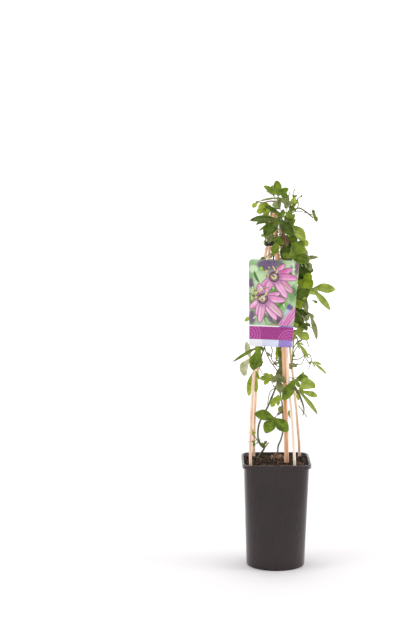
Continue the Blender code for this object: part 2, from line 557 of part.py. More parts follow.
def leave_stem(stem, height, target):
    """Where a side growth starts: just off the stem's skin, and its outward direction."""
    path, radius = stem_path(stem)
    centre, along = point_at_height(path, height * CM)
    outward = target - centre
    outward = (outward - along * outward.dot(along)).normalized()
    return centre + outward * (radius + GAP), outward


class Lobe:
    """One lobe of a leaf: a bent tongue from the point where the lobes meet."""

    def __init__(self, centre, face, tip, width):
        self.centre = centre
        self.length = (tip - centre).length
        self.half_width = width * CM / 2
        self.axis = (tip - centre).normalized()
        self.side = face.cross(self.axis).normalized()
        self.up = self.axis.cross(self.side)

    def reach(self, share, room):
        """Half the width at a share of the length, kept clear of a neighbour `room` away."""
        power = LOBE_BASE if share < LOBE_WIDEST else LOBE_POINT
        skewed = share ** (math.log(0.5) / math.log(LOBE_WIDEST))
        wide = self.half_width * math.sin(math.pi * skewed) ** power
        return min(wide, share * self.length * math.tan(min(room / 2, WIDEST)))

    def place(self, share, across):
        """Bend a flat point of the blade into space."""
        lift = LOBE_ARCH * self.length * 4 * share * (1 - share) + LOBE_FOLD * abs(across)
        return self.centre + self.axis * share * self.length + self.side * across + self.up * lift


class Blade:
    """A leaf's middle surface: lobes in order about their meeting point, joined where they meet."""

    def __init__(self, centre, face, lobe_table):
        self.bm = bmesh.new()
        self.centre = centre
        across = face.orthogonal().normalized()
        self.frame = (across, face.cross(across))
        lobes = sorted((Lobe(centre, face, vec(tip), width) for tip, width in lobe_table), key=self.angle)
        angles = [self.angle(lobe) for lobe in lobes]
        count = len(lobes)
        rooms = [(angles[(i + 1) % count] - angles[i]) % TAU for i in range(count)]
        grids = [self.lobe_points(lobe, rooms[i - 1], rooms[i]) for i, lobe in enumerate(lobes)]
        middle = self.bm.verts.new(centre)
        webs = [self.web_verts(grids[i][0][-1], grids[(i + 1) % count][0][0], angles[i], rooms[i])
                for i in range(count)]
        for i, lobe in enumerate(lobes):
            inner = [webs[i - 1][-1], self.bm.verts.new(grids[i][0][1]), webs[i][0]]
            self.add_faces([[middle] * 3, inner])
            self.add_lobe(inner, grids[i][1:], lobe.place(1.0, 0.0))
            for a, b in zip(webs[i], webs[i][1:]):
                self.bm.faces.new((middle, a, b))

    def angle(self, lobe):
        return math.atan2(lobe.axis.dot(self.frame[1]), lobe.axis.dot(self.frame[0]))

    def lobe_points(self, lobe, before, after):
        """Rows of three points across the lobe, from the hub outwards."""
        return [[lobe.place(share, -lobe.reach(share, before)), lobe.place(share, 0.0),
                 lobe.place(share, lobe.reach(share, after))] for share in LOBE_ROWS]

    def web_verts(self, last, first, angle, room):
        """The hub's rim between two lobes: one shared point, or a rounded base where they are apart."""
        if room <= WEB_ANGLE:
            return [self.bm.verts.new(last.lerp(first, 0.5))]
        points = [last]
        for turn in (BASE_TURN, room / 2, room - BASE_TURN):
            flat = self.frame[0] * math.cos(angle + turn) + self.frame[1] * math.sin(angle + turn)
            points.append(self.centre + flat * BASE_RADIUS * CM)
        return [self.bm.verts.new(point) for point in (*points, first)]

    def add_faces(self, rows):
        """Faces between successive rows, where a row of one repeated vertex makes triangles."""
        for low, high in zip(rows, rows[1:]):
            for k in range(len(low) - 1):
                corners = dict.fromkeys((low[k], low[k + 1], high[k + 1], high[k]))
                self.bm.faces.new(tuple(corners))

    def add_lobe(self, inner, grid, tip):
        rows = [inner, *([self.bm.verts.new(point) for point in row] for row in grid)]
        self.add_faces([*rows, [self.bm.verts.new(tip)] * 3])


def build_leaf(name, parts, cutters, mat):
    stem, height, centre, face, lobe_table = LEAVES[name]
    centre, face = vec(centre), Vector(face).normalized()
    leaf = mesh_object(name, Blade(centre, face, lobe_table).bm, parts, mat)
    shell = leaf.modifiers.new("Thickness", "SOLIDIFY")
    shell.thickness = BLADE_THICKNESS * CM
    shell.offset = 0.0
    start, outward = leave_stem(stem, height, centre)
    knee = start + outward * PETIOLE_STUB * CM
    reach = (centre - knee).length
    behind = face * min(PETIOLE_BACK * reach, PETIOLE_MOST_BACK * CM)
    middle = knee.lerp(centre, 0.5) + Vector((0, 0, PETIOLE_RISE * reach)) - behind
    end = centre + (centre - middle).normalized() * PETIOLE_THROUGH * CM
    stalk = as_cutter(tube(name + "_stalk", [start, knee, middle, end], PETIOLE_RADIUS * CM, cutters,
                           sides_level=0))
    boolean(leaf, stalk, "UNION")
    return leaf


def build_leaves(parts, cutters):
    green = material("leaf_green", (0.10, 0.20, 0.03), 0.45)
    for name in LEAVES:
        build_leaf(name, parts, cutters, green)


def build_tendrils(parts):
    mat = material("tendril_green", (0.35, 0.42, 0.12), 0.5)
    for name, (stem, height, points, coil) in TENDRILS.items():
        reach = [vec(p) for p in points]
        start, outward = leave_stem(stem, height, reach[0])
        if coil:
            radius, turns, drop = coil
            end = reach[-1]
            for i in range(1, int(turns * 6) + 1):
                angle = i * math.pi / 3
                reach.append(end + vec((radius * (1 - math.cos(angle)), radius * math.sin(angle),
                                        -drop * i / (turns * 6))))
        path = spline_points([start, start + outward * 0.2 * CM, *reach], 0.9 * CM)
        tube(name, path, TENDRIL_RADIUS * CM, parts, mat, sides_level=0)


def main():
    clear_scene()
    parts = new_collection("Potted passion flower")
    cutters = new_collection("Cutters")
    build_pot(parts, cutters)
    soil = build_soil(parts)
    build_plug(parts, soil, cutters)
    build_canes(parts, soil, cutters)
    build_tie(parts)
    build_label(parts, cutters)
    build_hook(parts)
    build_stems(parts, soil, cutters)
    build_leaves(parts, cutters)
    build_tendrils(parts)


main()
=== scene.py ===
"""Looks of the potted passion flower plant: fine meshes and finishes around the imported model.

The tables of canes, stems, leaves and tendrils are the construction's own, in centimetres.
"""
import math
import random

import bmesh
import bpy
from mathutils import Matrix, Vector, noise


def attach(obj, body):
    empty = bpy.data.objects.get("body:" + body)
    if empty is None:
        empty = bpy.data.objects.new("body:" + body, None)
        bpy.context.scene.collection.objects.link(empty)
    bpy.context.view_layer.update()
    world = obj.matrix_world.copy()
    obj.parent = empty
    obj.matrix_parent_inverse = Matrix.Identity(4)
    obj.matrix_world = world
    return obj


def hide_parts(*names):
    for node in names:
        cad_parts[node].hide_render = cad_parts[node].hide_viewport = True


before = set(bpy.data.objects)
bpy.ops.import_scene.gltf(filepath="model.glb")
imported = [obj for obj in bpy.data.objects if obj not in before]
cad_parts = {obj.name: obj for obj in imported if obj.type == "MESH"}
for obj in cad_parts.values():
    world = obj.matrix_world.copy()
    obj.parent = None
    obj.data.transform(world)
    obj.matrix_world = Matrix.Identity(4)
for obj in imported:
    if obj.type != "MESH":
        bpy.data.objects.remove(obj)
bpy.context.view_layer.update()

CM = 0.01
TAU = 2 * math.pi
SEEDS = {"litter": 11, "print": 5, "stipules": 23, "thicket": 41}

# Camera: a long lens in front of the plant and a little above it, tilted down.
CAMERA_PLACE = (-0.1375, -3.28, 0.915)
CAMERA_TILT = math.radians(6.92)
CAMERA_LENS = 95.1
SENSOR = 36.0

# Studio, in metres: the paper sweep, the world, and each light's place, target, size and power.
PAPER_HALF_WIDTH = 9.0
PAPER_FRONT = -9.0
PAPER_BACK = 5.0
PAPER_CURVE = 1.2
PAPER_CURVE_STEPS = 16
PAPER_TOP = 6.0
GLOW_NEAR = 0.9
GLOW_FAR = 2.6
GLOW_STRENGTH = 0.6
WORLD_COLOUR = (1.0, 0.99, 0.99, 1.0)
WORLD_STRENGTH = 0.56
LIGHTS = {
    "left_box": ((-2.2, -0.9, 1.5), (0, 0, 0.4), 1.4, 18),
    "right_box": ((2.4, -0.4, 1.3), (0, 0, 0.4), 1.4, 24),
    "top_box": ((0.0, 0.2, 2.6), (0, 0, 0.3), 1.6, 20),
    "left_strip": ((-1.0, 0.45, 0.14), (-0.05, 0, 0.12), 0.5, 2.6),
    "right_strip": ((1.0, 0.5, 0.14), (0.05, 0, 0.12), 0.5, 3.4),
}

# Pot.
FOOT_RADIUS = 5.9
POT_HEIGHT = 21.7
WALL = 0.15
FLOOR = 0.3
WALL_TOP_HALF = 6.45
WALL_TOP_CORNER = 2.0
RIM_HALF = 6.9
RIM_CORNER = 2.2
SKIRT_DROP = 0.85
LIP_INNER_HALF = 6.5
CORNER_STEPS = 14
DRAIN_COUNT = 8
DRAIN_RADIUS = 0.4
DRAIN_CIRCLE = 4.3

# Soil and the plug of peat that the second stem was raised in.
SOIL_LEVEL = 20.5
SOIL_MOUND = 0.8
SOIL_LUMP = 0.35
SOIL_CRUMB = 0.26
SOIL_RISE = 0.3
SOIL_RING_COUNT = 44
CLOD_COUNT = 520
CLOD_REACH = 5.9
CORNER_REACH = 5.2
CHIP_EVERY = 6
FIBRE_COUNT = 70
FIBRE_REACH = 5.6
FIBRE_LIMIT = 6.0
FIBRE_RADIUS = 0.02
PLUG_CENTRE = (0.3, 0.9, 21.5)
PLUG_RADII = (1.45, 1.3, 1.15)

# Canes: radius, then centreline points from the buried end to the tip.
CANES = {
    "cane_front_left": (0.30, [(-4.8, -4.7, 14.0), (-5.25, -5.2, 21.2), (-5.2, -4.6, 28.6),
                               (-4.55, -3.3, 40.2), (-2.6, -1.35, 61.0), (-1.95, -0.8, 65.5),
                               (-1.35, -0.3, 71.2)]),
    "cane_back_left": (0.30, [(-4.1, 4.3, 14.0), (-4.35, 4.6, 21.5), (-4.2, 4.0, 30.0),
                              (-3.6, 3.0, 40.0), (-1.75, 0.95, 61.0), (-1.4, 0.55, 65.5),
                              (-1.0, 0.25, 70.6)]),
    "cane_centre": (0.45, [(1.9, -2.8, 12.0), (2.02, -2.8, 21.6), (1.8, -2.4, 32.2),
                           (1.36, -1.8, 44.3), (0.1, -0.8, 61.5), (-0.2, -0.6, 65.5),
                           (-0.6, -0.5, 71.6)]),
    "cane_front_right": (0.28, [(3.4, -4.8, 14.0), (3.54, -5.2, 21.4), (3.1, -4.5, 29.0),
                                (2.25, -3.4, 39.3), (1.85, -2.2, 49.0), (1.0, -0.5, 62.5),
                                (0.8, -0.2, 65.5), (0.6, 0.1, 69.6)]),
    "cane_back_right": (0.28, [(4.5, 4.4, 14.0), (5.01, 4.8, 21.5), (4.6, 4.1, 28.0),
                               (3.3, 2.9, 40.0), (2.0, 1.9, 52.0), (0.4, 0.85, 62.5),
                               (0.0, 0.6, 65.5), (-0.3, 0.45, 70.2)]),
}
TIE_HEIGHT = 65.5
TIE_BAND = 0.9
TIE_THICKNESS = 0.12
TIE_CLEARANCE = 0.09
TIE_SIDES = 96
TIE_SECTIONS = 16
TIE_ROUNDNESS = 0.4

# Label: a card wider at the top, hung slightly askew.
LABEL_TOP_WIDTH = 10.1
LABEL_FOOT_WIDTH = 8.5
LABEL_LENGTH = 17.2
LABEL_THICKNESS = 0.07
LABEL_HOLE = (-0.65, -1.98, 61.8)
LABEL_HOLE_INSET = 0.55
LABEL_HOLE_RADIUS = 0.3
LABEL_ROLL = math.radians(2.3)
LABEL_LEAN = math.radians(5.2)
LABEL_CORNER = 0.8
HOOK_RADIUS = 0.06
HOOK_LEAD = 0.35
HOOK_FRONT = -1.41
HOOK_END = -1.14
HOOK_TOP = TIE_HEIGHT + TIE_BAND / 2 + 0.15

# Stems: radius, then the route from the soil to the tip.
STEMS = {
    "main_stem": (0.19, [(-3.4, 2.7, 17.5), (-3.6, 2.4, 20.9), (-2.9, 1.3, 22.7), (-2.4, 0.3, 23.8),
                         (-3.1, -0.5, 24.7), (-3.6, -0.9, 26.0), (-3.7, -1.1, 27.4),
                         (-3.5, -1.2, 29.0), (-2.9, -1.3, 30.5), (-1.8, -1.2, 32.5),
                         (-0.5, -1.0, 35.6), (0.4, -0.7, 38.0), (0.7, -0.4, 41.0),
                         (0.7, -0.2, 46.0), (0.3, 0.2, 52.0), (-0.3, 0.6, 58.0),
                         (-0.6, 1.3, 62.0), (-0.7, 1.42, 65.5), (-0.7, 1.25, 68.0),
                         (-0.6, 1.1, 70.5), (-0.2, 0.7, 72.5), (0.1, 0.3, 74.2)]),
    "second_stem": (0.16, [(0.4, 0.9, 22.68), (0.5, 0.8, 24.2), (1.0, 0.3, 25.6), (1.4, 0.0, 27.5),
                           (1.4, -0.4, 30.0), (1.2, -0.4, 33.0), (0.6, 0.3, 37.0),
                           (1.2, 0.5, 41.0), (1.4, 0.4, 46.0), (1.0, 0.8, 52.0),
                           (1.3, 0.3, 56.5), (1.9, -0.2, 59.0), (1.9, -0.8, 61.0),
                           (1.6, -1.15, 63.5), (1.5, -1.2, 65.5), (1.4, -0.9, 68.5),
                           (1.9, -0.3, 71.0), (2.8, -0.2, 73.0)]),
}

# Side shoots: radius, the stem and the height they leave it at, and the rest of the route.
SHOOTS = {
    "left_shoot": (0.11, "main_stem", 46.8, [(-1.2, -0.9, 47.3), (-2.6, -1.4, 46.8),
                                             (-3.4, -2.0, 45.6), (-3.6, -1.8, 43.5),
                                             (-3.3, -1.6, 41.5)]),
    "right_shoot": (0.11, "second_stem", 48.4, [(2.6, -0.2, 48.7), (3.5, -0.7, 47.6),
                                                (4.5, -1.1, 45.4), (5.6, -1.5, 43.0),
                                                (6.7, -1.8, 41.3)]),
}
STEM_STEP = 2.0
CUT_STUB = [(-2.45, 0.3, 23.75), (-2.0, 0.1, 24.4), (-1.5, -0.1, 25.1)]
CUT_STUB_RADIUS = 0.13

# Leaves: the stem and the height they leave it at, the point where the lobes meet, the side that
# faces out, and each lobe as (tip, width).
LEAVES = {
    # top of the plant
    "leaf_crown": ("main_stem", 73.2, (0.15, -1.0, 75.2), (0.0, -0.95, 0.3),
                   [((-2.8, -1.3, 77.0), 1.1), ((-0.15, -0.7, 78.05), 1.7),
                    ((2.2, -1.2, 76.5), 1.3)]),
    "leaf_crown_back": ("main_stem", 73.7, (-0.6, 1.0, 74.9), (-0.2, 0.6, 0.7),
                        [((-2.2, 1.7, 75.8), 0.9), ((-1.0, 1.6, 77.0), 1.0), ((0.8, 2.2, 76.3), 0.9)]),
    "leaf_under_crown": ("main_stem", 72.4, (0.5, -0.95, 74.6), (-0.1, 0.9, 0.35),
                         [((-3.6, -0.3, 73.9), 0.5), ((-0.6, -1.3, 72.6), 2.2),
                          ((1.8, -1.0, 73.5), 1.1)]),
    "leaf_top_left": ("main_stem", 71.5, (-1.6, 1.5, 72.1), (-0.2, -0.85, 0.45),
                      [((-2.7, 1.8, 73.5), 1.3), ((-4.1, 1.5, 71.6), 1.7), ((-2.6, 1.2, 70.4), 1.4)]),
    "leaf_spread": ("second_stem", 69.3, (0.3, -2.0, 70.3), (-0.1, -0.75, 0.65),
                    [((-5.5, -2.6, 70.2), 1.7), ((-2.6, -3.7, 67.2), 2.9), ((2.9, -3.5, 67.3), 2.4)]),
    "leaf_spread_under": ("main_stem", 68.6, (-1.8, 0.4, 69.5), (-0.2, -0.75, 0.65),
                          [((-4.2, -0.8, 69.2), 1.5), ((-3.6, 0.6, 68.0), 1.4),
                           ((-3.2, 1.6, 70.0), 1.0)]),
    "leaf_top_right": ("second_stem", 68.6, (2.3, -0.8, 69.3), (0.3, -0.85, 0.45),
                       [((3.6, -1.2, 70.4), 1.2), ((5.5, -1.6, 65.9), 2.6), ((2.2, -1.6, 66.9), 1.6)]),
    "leaf_arching": ("second_stem", 71.9, (7.25, -0.2, 71.1), (0.4, -0.9, 0.1),
                     [((7.05, -0.3, 72.3), 0.7), ((7.95, -0.1, 69.8), 0.9), ((7.7, 0.5, 71.3), 0.6)]),
    "leaf_upright": ("second_stem", 71.4, (1.9, -1.1, 72.6), (-0.2, -0.95, 0.2),
                     [((1.3, -1.5, 73.9), 0.6), ((2.1, -1.1, 75.1), 0.9), ((2.9, -1.4, 74.1), 0.6)]),
    "leaf_upright_low": ("second_stem", 69.9, (2.4, -1.5, 70.4), (0.2, -0.9, 0.2),
                         [((1.7, -1.8, 71.8), 0.9), ((2.5, -1.7, 72.6), 0.9), ((3.5, -1.6, 71.4), 0.8)]),
    "leaf_bud": ("second_stem", 72.7, (3.3, -0.6, 73.3), (0.3, -0.9, 0.3),
                 [((2.8, -0.8, 74.5), 0.6), ((3.5, -0.7, 74.8), 0.6), ((4.2, -0.6, 73.9), 0.6)]),
    # between the tie and the label
    "leaf_tie_left": ("second_stem", 67.3, (-1.2, -2.0, 67.1), (-0.2, -0.9, 0.4),
                      [((-1.7, -2.3, 68.3), 0.9), ((-2.6, -2.4, 66.7), 1.1), ((-1.8, -2.7, 65.7), 1.0)]),
    "leaf_tie_front": ("second_stem", 66.6, (0.15, -2.3, 66.9), (-0.1, -0.95, 0.2),
                       [((-1.0, -2.8, 66.1), 1.0), ((-0.8, -2.7, 63.3), 1.8), ((1.1, -2.7, 65.4), 1.2)]),
    "leaf_tie_right": ("second_stem", 67.5, (2.5, 0.2, 67.4), (0.3, -0.85, 0.4),
                       [((2.6, -0.6, 64.5), 1.5), ((3.9, 0.3, 65.4), 1.5), ((3.7, 1.4, 67.6), 1.1)]),
    "leaf_neck": ("second_stem", 62.2, (2.6, -1.6, 62.9), (0.15, -0.95, 0.25),
                  [((5.2, -2.4, 66.2), 2.6), ((6.4, -1.7, 62.2), 2.2), ((0.9, -1.7, 63.4), 1.2)]),
    "leaf_neck_far": ("second_stem", 60.4, (5.2, 0.3, 62.3), (0.25, -0.85, 0.45),
                      [((5.6, 1.2, 64.4), 1.6), ((8.3, 0.1, 62.7), 0.9), ((6.9, 0.4, 60.0), 1.7)]),
    # right of the label
    "leaf_right_top": ("second_stem", 59.0, (4.6, 0.8, 60.4), (0.3, -0.9, 0.3),
                       [((4.2, 0.7, 57.4), 2.0), ((6.6, 0.4, 57.1), 2.6), ((7.4, 0.8, 59.9), 1.8)]),
    "leaf_right_bright": ("second_stem", 57.5, (5.3, -1.2, 58.3), (0.1, -0.95, 0.3),
                          [((4.2, -1.7, 57.2), 1.4), ((6.9, -2.6, 56.8), 2.4), ((7.0, -1.7, 59.2), 1.8)]),
    "leaf_right_reaching": ("second_stem", 56.0, (6.9, -1.7, 56.5), (0.05, -0.85, 0.5),
                            [((3.6, -1.7, 55.0), 3.3), ((10.6, -2.1, 52.3), 1.4),
                             ((11.6, -1.8, 56.4), 2.2)]),
    "leaf_right_inner": ("second_stem", 54.5, (4.4, -0.2, 54.5), (0.2, -0.9, 0.3),
                         [((3.2, -0.6, 53.2), 1.4), ((4.7, -0.7, 52.3), 1.7), ((5.9, -0.4, 53.7), 1.5)]),
    "leaf_right_dark": ("second_stem", 52.2, (4.8, 0.7, 52.2), (0.2, -0.9, 0.3),
                        [((3.4, 0.2, 50.2), 2.1), ((4.6, 0.0, 48.9), 2.5), ((6.1, 0.4, 50.4), 1.9)]),
    "leaf_right_hanging": ("second_stem", 53.6, (6.6, -0.7, 51.5), (0.3, -0.9, 0.3),
                           [((5.6, -0.9, 49.9), 1.0), ((8.0, -1.3, 46.3), 1.1), ((7.4, -0.6, 50.5), 0.7)]),
    "leaf_right_small": ("second_stem", 54.0, (5.4, -2.0, 49.6), (0.1, -0.9, 0.4),
                         [((4.8, -2.3, 48.6), 0.8), ((5.9, -2.5, 48.2), 0.9), ((6.7, -2.2, 49.2), 0.8)]),
    "leaf_right_low": ("right_shoot", 47.9, (3.7, -1.6, 47.9), (0.1, -0.9, 0.4),
                       [((5.5, -1.4, 48.6), 1.3), ((6.5, -1.9, 46.5), 2.1), ((3.0, -1.6, 46.0), 1.1)]),
    "leaf_trailing": ("right_shoot", 45.8, (3.9, -2.4, 45.9), (0.2, -0.9, 0.4),
                      [((4.5, -2.8, 44.5), 0.4), ((6.3, -3.0, 42.7), 0.9), ((5.4, -2.3, 45.3), 0.4)]),
    "leaf_trailing_tip": ("right_shoot", 41.7, (7.0, -2.0, 41.9), (0.2, -0.85, 0.5),
                          [((7.6, -2.3, 40.9), 0.4), ((10.0, -2.4, 39.4), 0.6), ((9.0, -1.9, 41.3), 0.6)]),
    # the two low clusters and the big front leaf
    "leaf_low_right": ("second_stem", 38.6, (3.6, -4.4, 38.6), (-0.05, -0.9, 0.4),
                       [((1.2, -5.0, 34.6), 2.2), ((4.4, -4.8, 37.2), 0.9), ((6.2, -4.0, 39.1), 1.8)]),
    "leaf_low_right_far": ("second_stem", 37.0, (4.2, -5.7, 36.7), (0.05, -0.85, 0.5),
                           [((7.5, -6.3, 38.0), 3.7), ((8.0, -5.0, 35.4), 1.5), ((8.0, -5.6, 31.9), 0.9)]),
    "leaf_left_dark": ("left_shoot", 45.4, (-3.3, -3.1, 45.3), (-0.2, -0.92, 0.3),
                       [((-8.9, -4.4, 42.2), 0.7), ((-4.8, -4.9, 40.6), 2.8), ((-2.6, -3.3, 44.2), 0.7)]),
    "leaf_left_light": ("left_shoot", 43.6, (-5.3, -1.6, 42.6), (-0.3, -0.9, 0.3),
                        [((-6.1, -2.3, 46.1), 1.3), ((-6.6, -2.3, 39.1), 2.8), ((-5.1, -1.6, 40.6), 0.9)]),
    "leaf_left_hanging": ("left_shoot", 41.8, (-4.4, -1.2, 40.2), (-0.2, -0.92, 0.25),
                          [((-5.6, -1.7, 34.9), 1.6), ((-4.1, -1.4, 35.6), 1.5), ((-3.4, -1.2, 38.2), 0.7)]),
    "leaf_small_left": ("main_stem", 36.6, (-1.5, -1.9, 38.6), (-0.1, -0.92, 0.4),
                        [((-2.5, -2.3, 37.3), 1.1), ((-3.4, -2.1, 38.5), 1.2), ((-2.5, -1.8, 39.6), 1.0)]),
    "leaf_grey_hanging": ("main_stem", 39.8, (0.2, -2.3, 39.4), (0.0, -0.95, 0.25),
                          [((-0.8, -2.7, 37.8), 1.2), ((0.8, -3.2, 35.7), 1.9), ((1.8, -3.3, 37.8), 1.2)]),
    "leaf_young": ("main_stem", 34.2, (0.3, -2.2, 35.1), (-0.2, -0.9, 0.3),
                   [((-1.1, -2.7, 32.8), 1.4), ((0.3, -2.9, 33.1), 0.9), ((1.1, -2.9, 34.1), 0.8)]),
    "leaf_low_front": ("second_stem", 31.6, (-0.5, -3.4, 30.7), (-0.05, -0.85, 0.5),
                       [((-4.5, -3.9, 31.7), 2.3), ((-2.3, -5.1, 28.0), 2.5), ((2.2, -4.8, 28.2), 2.5)]),
    "leaf_low_small": ("main_stem", 25.4, (-4.8, -0.2, 26.8), (-0.3, -0.8, 0.4),
                       [((-5.5, -0.5, 27.3), 0.6), ((-4.8, -0.4, 28.1), 0.6), ((-4.1, -0.4, 27.3), 0.6)]),
    # the far side
    "leaf_back_neck": ("main_stem", 66.6, (-0.4, 2.6, 66.4), (0.0, 0.7, 0.7),
                       [((-2.4, 3.6, 64.8), 1.8), ((-0.2, 5.6, 64.2), 2.2), ((2.4, 4.6, 65.6), 1.8)]),
    "leaf_back_upper": ("second_stem", 58.6, (1.7, 3.2, 60.6), (0.2, 0.7, 0.7),
                        [((-1.2, 4.6, 59.6), 1.8), ((1.6, 6.7, 58.0), 2.4), ((4.6, 4.9, 59.2), 1.9)]),
    "leaf_back_left": ("main_stem", 56.4, (-2.4, 2.6, 56.6), (-0.6, 0.4, 0.7),
                       [((-3.9, 1.2, 54.6), 1.7), ((-4.9, 4.4, 54.8), 2.1), ((-2.6, 6.1, 55.4), 1.9)]),
    "leaf_back_middle": ("second_stem", 51.0, (2.0, 4.2, 51.6), (0.3, 0.7, 0.65),
                         [((-0.9, 5.2, 50.2), 1.8), ((2.0, 7.5, 48.8), 2.4), ((5.3, 5.2, 50.2), 1.9)]),
    "leaf_left_middle": ("main_stem", 50.6, (-4.0, -0.6, 50.9), (-0.5, -0.5, 0.7),
                         [((-6.5, -1.2, 49.9), 1.5), ((-6.0, 1.7, 49.6), 1.6), ((-3.4, 1.9, 49.9), 1.2)]),
    "leaf_back_low": ("main_stem", 46.6, (-0.9, 3.9, 47.4), (-0.2, 0.7, 0.7),
                      [((-3.5, 5.3, 46.2), 1.9), ((-0.7, 7.1, 45.4), 2.3), ((2.0, 5.9, 46.4), 1.8)]),
}
BLADE_THICKNESS = 0.045
BLADE_EDGE = 0.3
PETIOLE_RADIUS = 0.085
PETIOLE_STUB = 0.3
PETIOLE_RISE = 0.1
PETIOLE_BACK = 0.25
PETIOLE_MOST_BACK = 0.6
LOBE_ARCH = 0.07
LOBE_FOLD = 0.24
LOBE_BASE = 1.1
LOBE_POINT = 0.65
LOBE_WIDEST = 0.53
LOBE_RIPPLE = 0.07
HUB_SHARE = 0.24
HUB_ROWS = 2
LOBE_ROWS = (0.12, 0.24, 0.3, 0.38, 0.47, 0.56, 0.66, 0.76, 0.85, 0.92, 0.97)
LOBE_COLUMNS = (-1.0, -0.7, -0.35, 0.0, 0.35, 0.7, 1.0)
BASE_RADIUS = 0.25
BASE_TURN = math.radians(70)
WEB_ANGLE = math.radians(150)
WIDEST = math.radians(75)

# Finish of each leaf's upper side; the others are "green".
LEAF_TONES = {
    "dark": ("leaf_spread", "leaf_right_top", "leaf_right_dark", "leaf_back_neck", "leaf_back_upper",
             "leaf_back_middle", "leaf_right_small", "leaf_tie_right"),
    "light": ("leaf_right_reaching", "leaf_top_right", "leaf_low_right_far", "leaf_right_low",
              "leaf_trailing_tip", "leaf_trailing"),
    "olive": ("leaf_right_bright",),
    "young": ("leaf_young", "leaf_low_small", "leaf_bud", "leaf_small_left", "leaf_top_left",
              "leaf_right_inner", "leaf_left_hanging", "leaf_left_middle"),
    "grey": ("leaf_grey_hanging", "leaf_tie_left", "leaf_right_hanging", "leaf_neck_far", "leaf_upright"),
    "pale": ("leaf_left_light",),
}

# Display colours of each tone: deep, fresh and vein. Pale leaves have the grey underside, and the
# tones that have none of their own have the green one.
LEAF_COLOURS = {
    # The dark tone is partly the darker leaves' own green and partly painted shade for leaves set deep in the
    # foliage.
    "dark": ((34, 50, 4), (84, 108, 22), (124, 146, 58)),
    "green": ((60, 82, 6), (118, 142, 32), (160, 178, 84)),
    "light": ((104, 124, 28), (164, 182, 80), (192, 204, 120)),
    "olive": ((92, 114, 2), (138, 160, 14), (170, 186, 52)),
    "young": ((112, 136, 20), (176, 194, 66), (200, 212, 112)),
    "grey": ((84, 94, 40), (148, 154, 100), (182, 186, 138)),
    "pale": ((164, 168, 116), (212, 212, 176), (226, 226, 200)),
    "dry": ((96, 70, 46), (156, 124, 92), (190, 160, 128)),
}
UNDER_COLOURS = {
    "green": ((122, 138, 72), (152, 166, 96), (184, 192, 130)),
    "young": ((160, 180, 84), (190, 206, 112), (214, 224, 150)),
    "grey": ((160, 166, 124), (190, 192, 154), (208, 208, 176)),
}

# Skins of stems, stalks and twigs, as display colours: middle, low and high in the mottling.
SKIN_COLOURS = {
    "stem_bark": ((84, 98, 42), (80, 62, 40), (124, 134, 70)),
    "leaf_stalk": ((98, 108, 46), (100, 74, 46), (132, 140, 72)),
    "tendril_skin": ((108, 124, 44), (104, 84, 44), (140, 150, 70)),
    "sprout_green": ((110, 134, 44), (88, 106, 36), (146, 166, 74)),
    # The shaded twig's colours are painted shade: a twig skin darkened for a twig in shadow.
    "shaded_twig": ((78, 88, 44), (70, 62, 40), (104, 112, 66)),
    "dry_twig": ((104, 74, 46), (78, 50, 32), (134, 100, 68)),
    "stem_stub": ((186, 120, 96), (140, 86, 66), (214, 160, 132)),
}

# Tendrils: the stem they leave and its height, the reach, then a coil at the end as
# (radius, turns, length) or None.
TENDRILS = {
    "tendril_top": ("second_stem", 72.3, [(3.3, 0.4, 73.2), (3.5, 0.5, 74.6), (3.4, 0.3, 76.0)], None),
    "tendril_right": ("right_shoot", 46.8, [(4.5, -0.3, 46.2), (5.6, 0.1, 44.8), (6.2, 0.2, 43.6)],
                      (0.45, 1.8, 0.8)),
    "tendril_low_right": ("second_stem", 35.4, [(2.6, -0.9, 35.4), (4.4, -1.3, 34.6), (5.3, -1.5, 32.0),
                                                (5.2, -1.5, 30.6)], None),
}
TENDRIL_RADIUS = 0.045

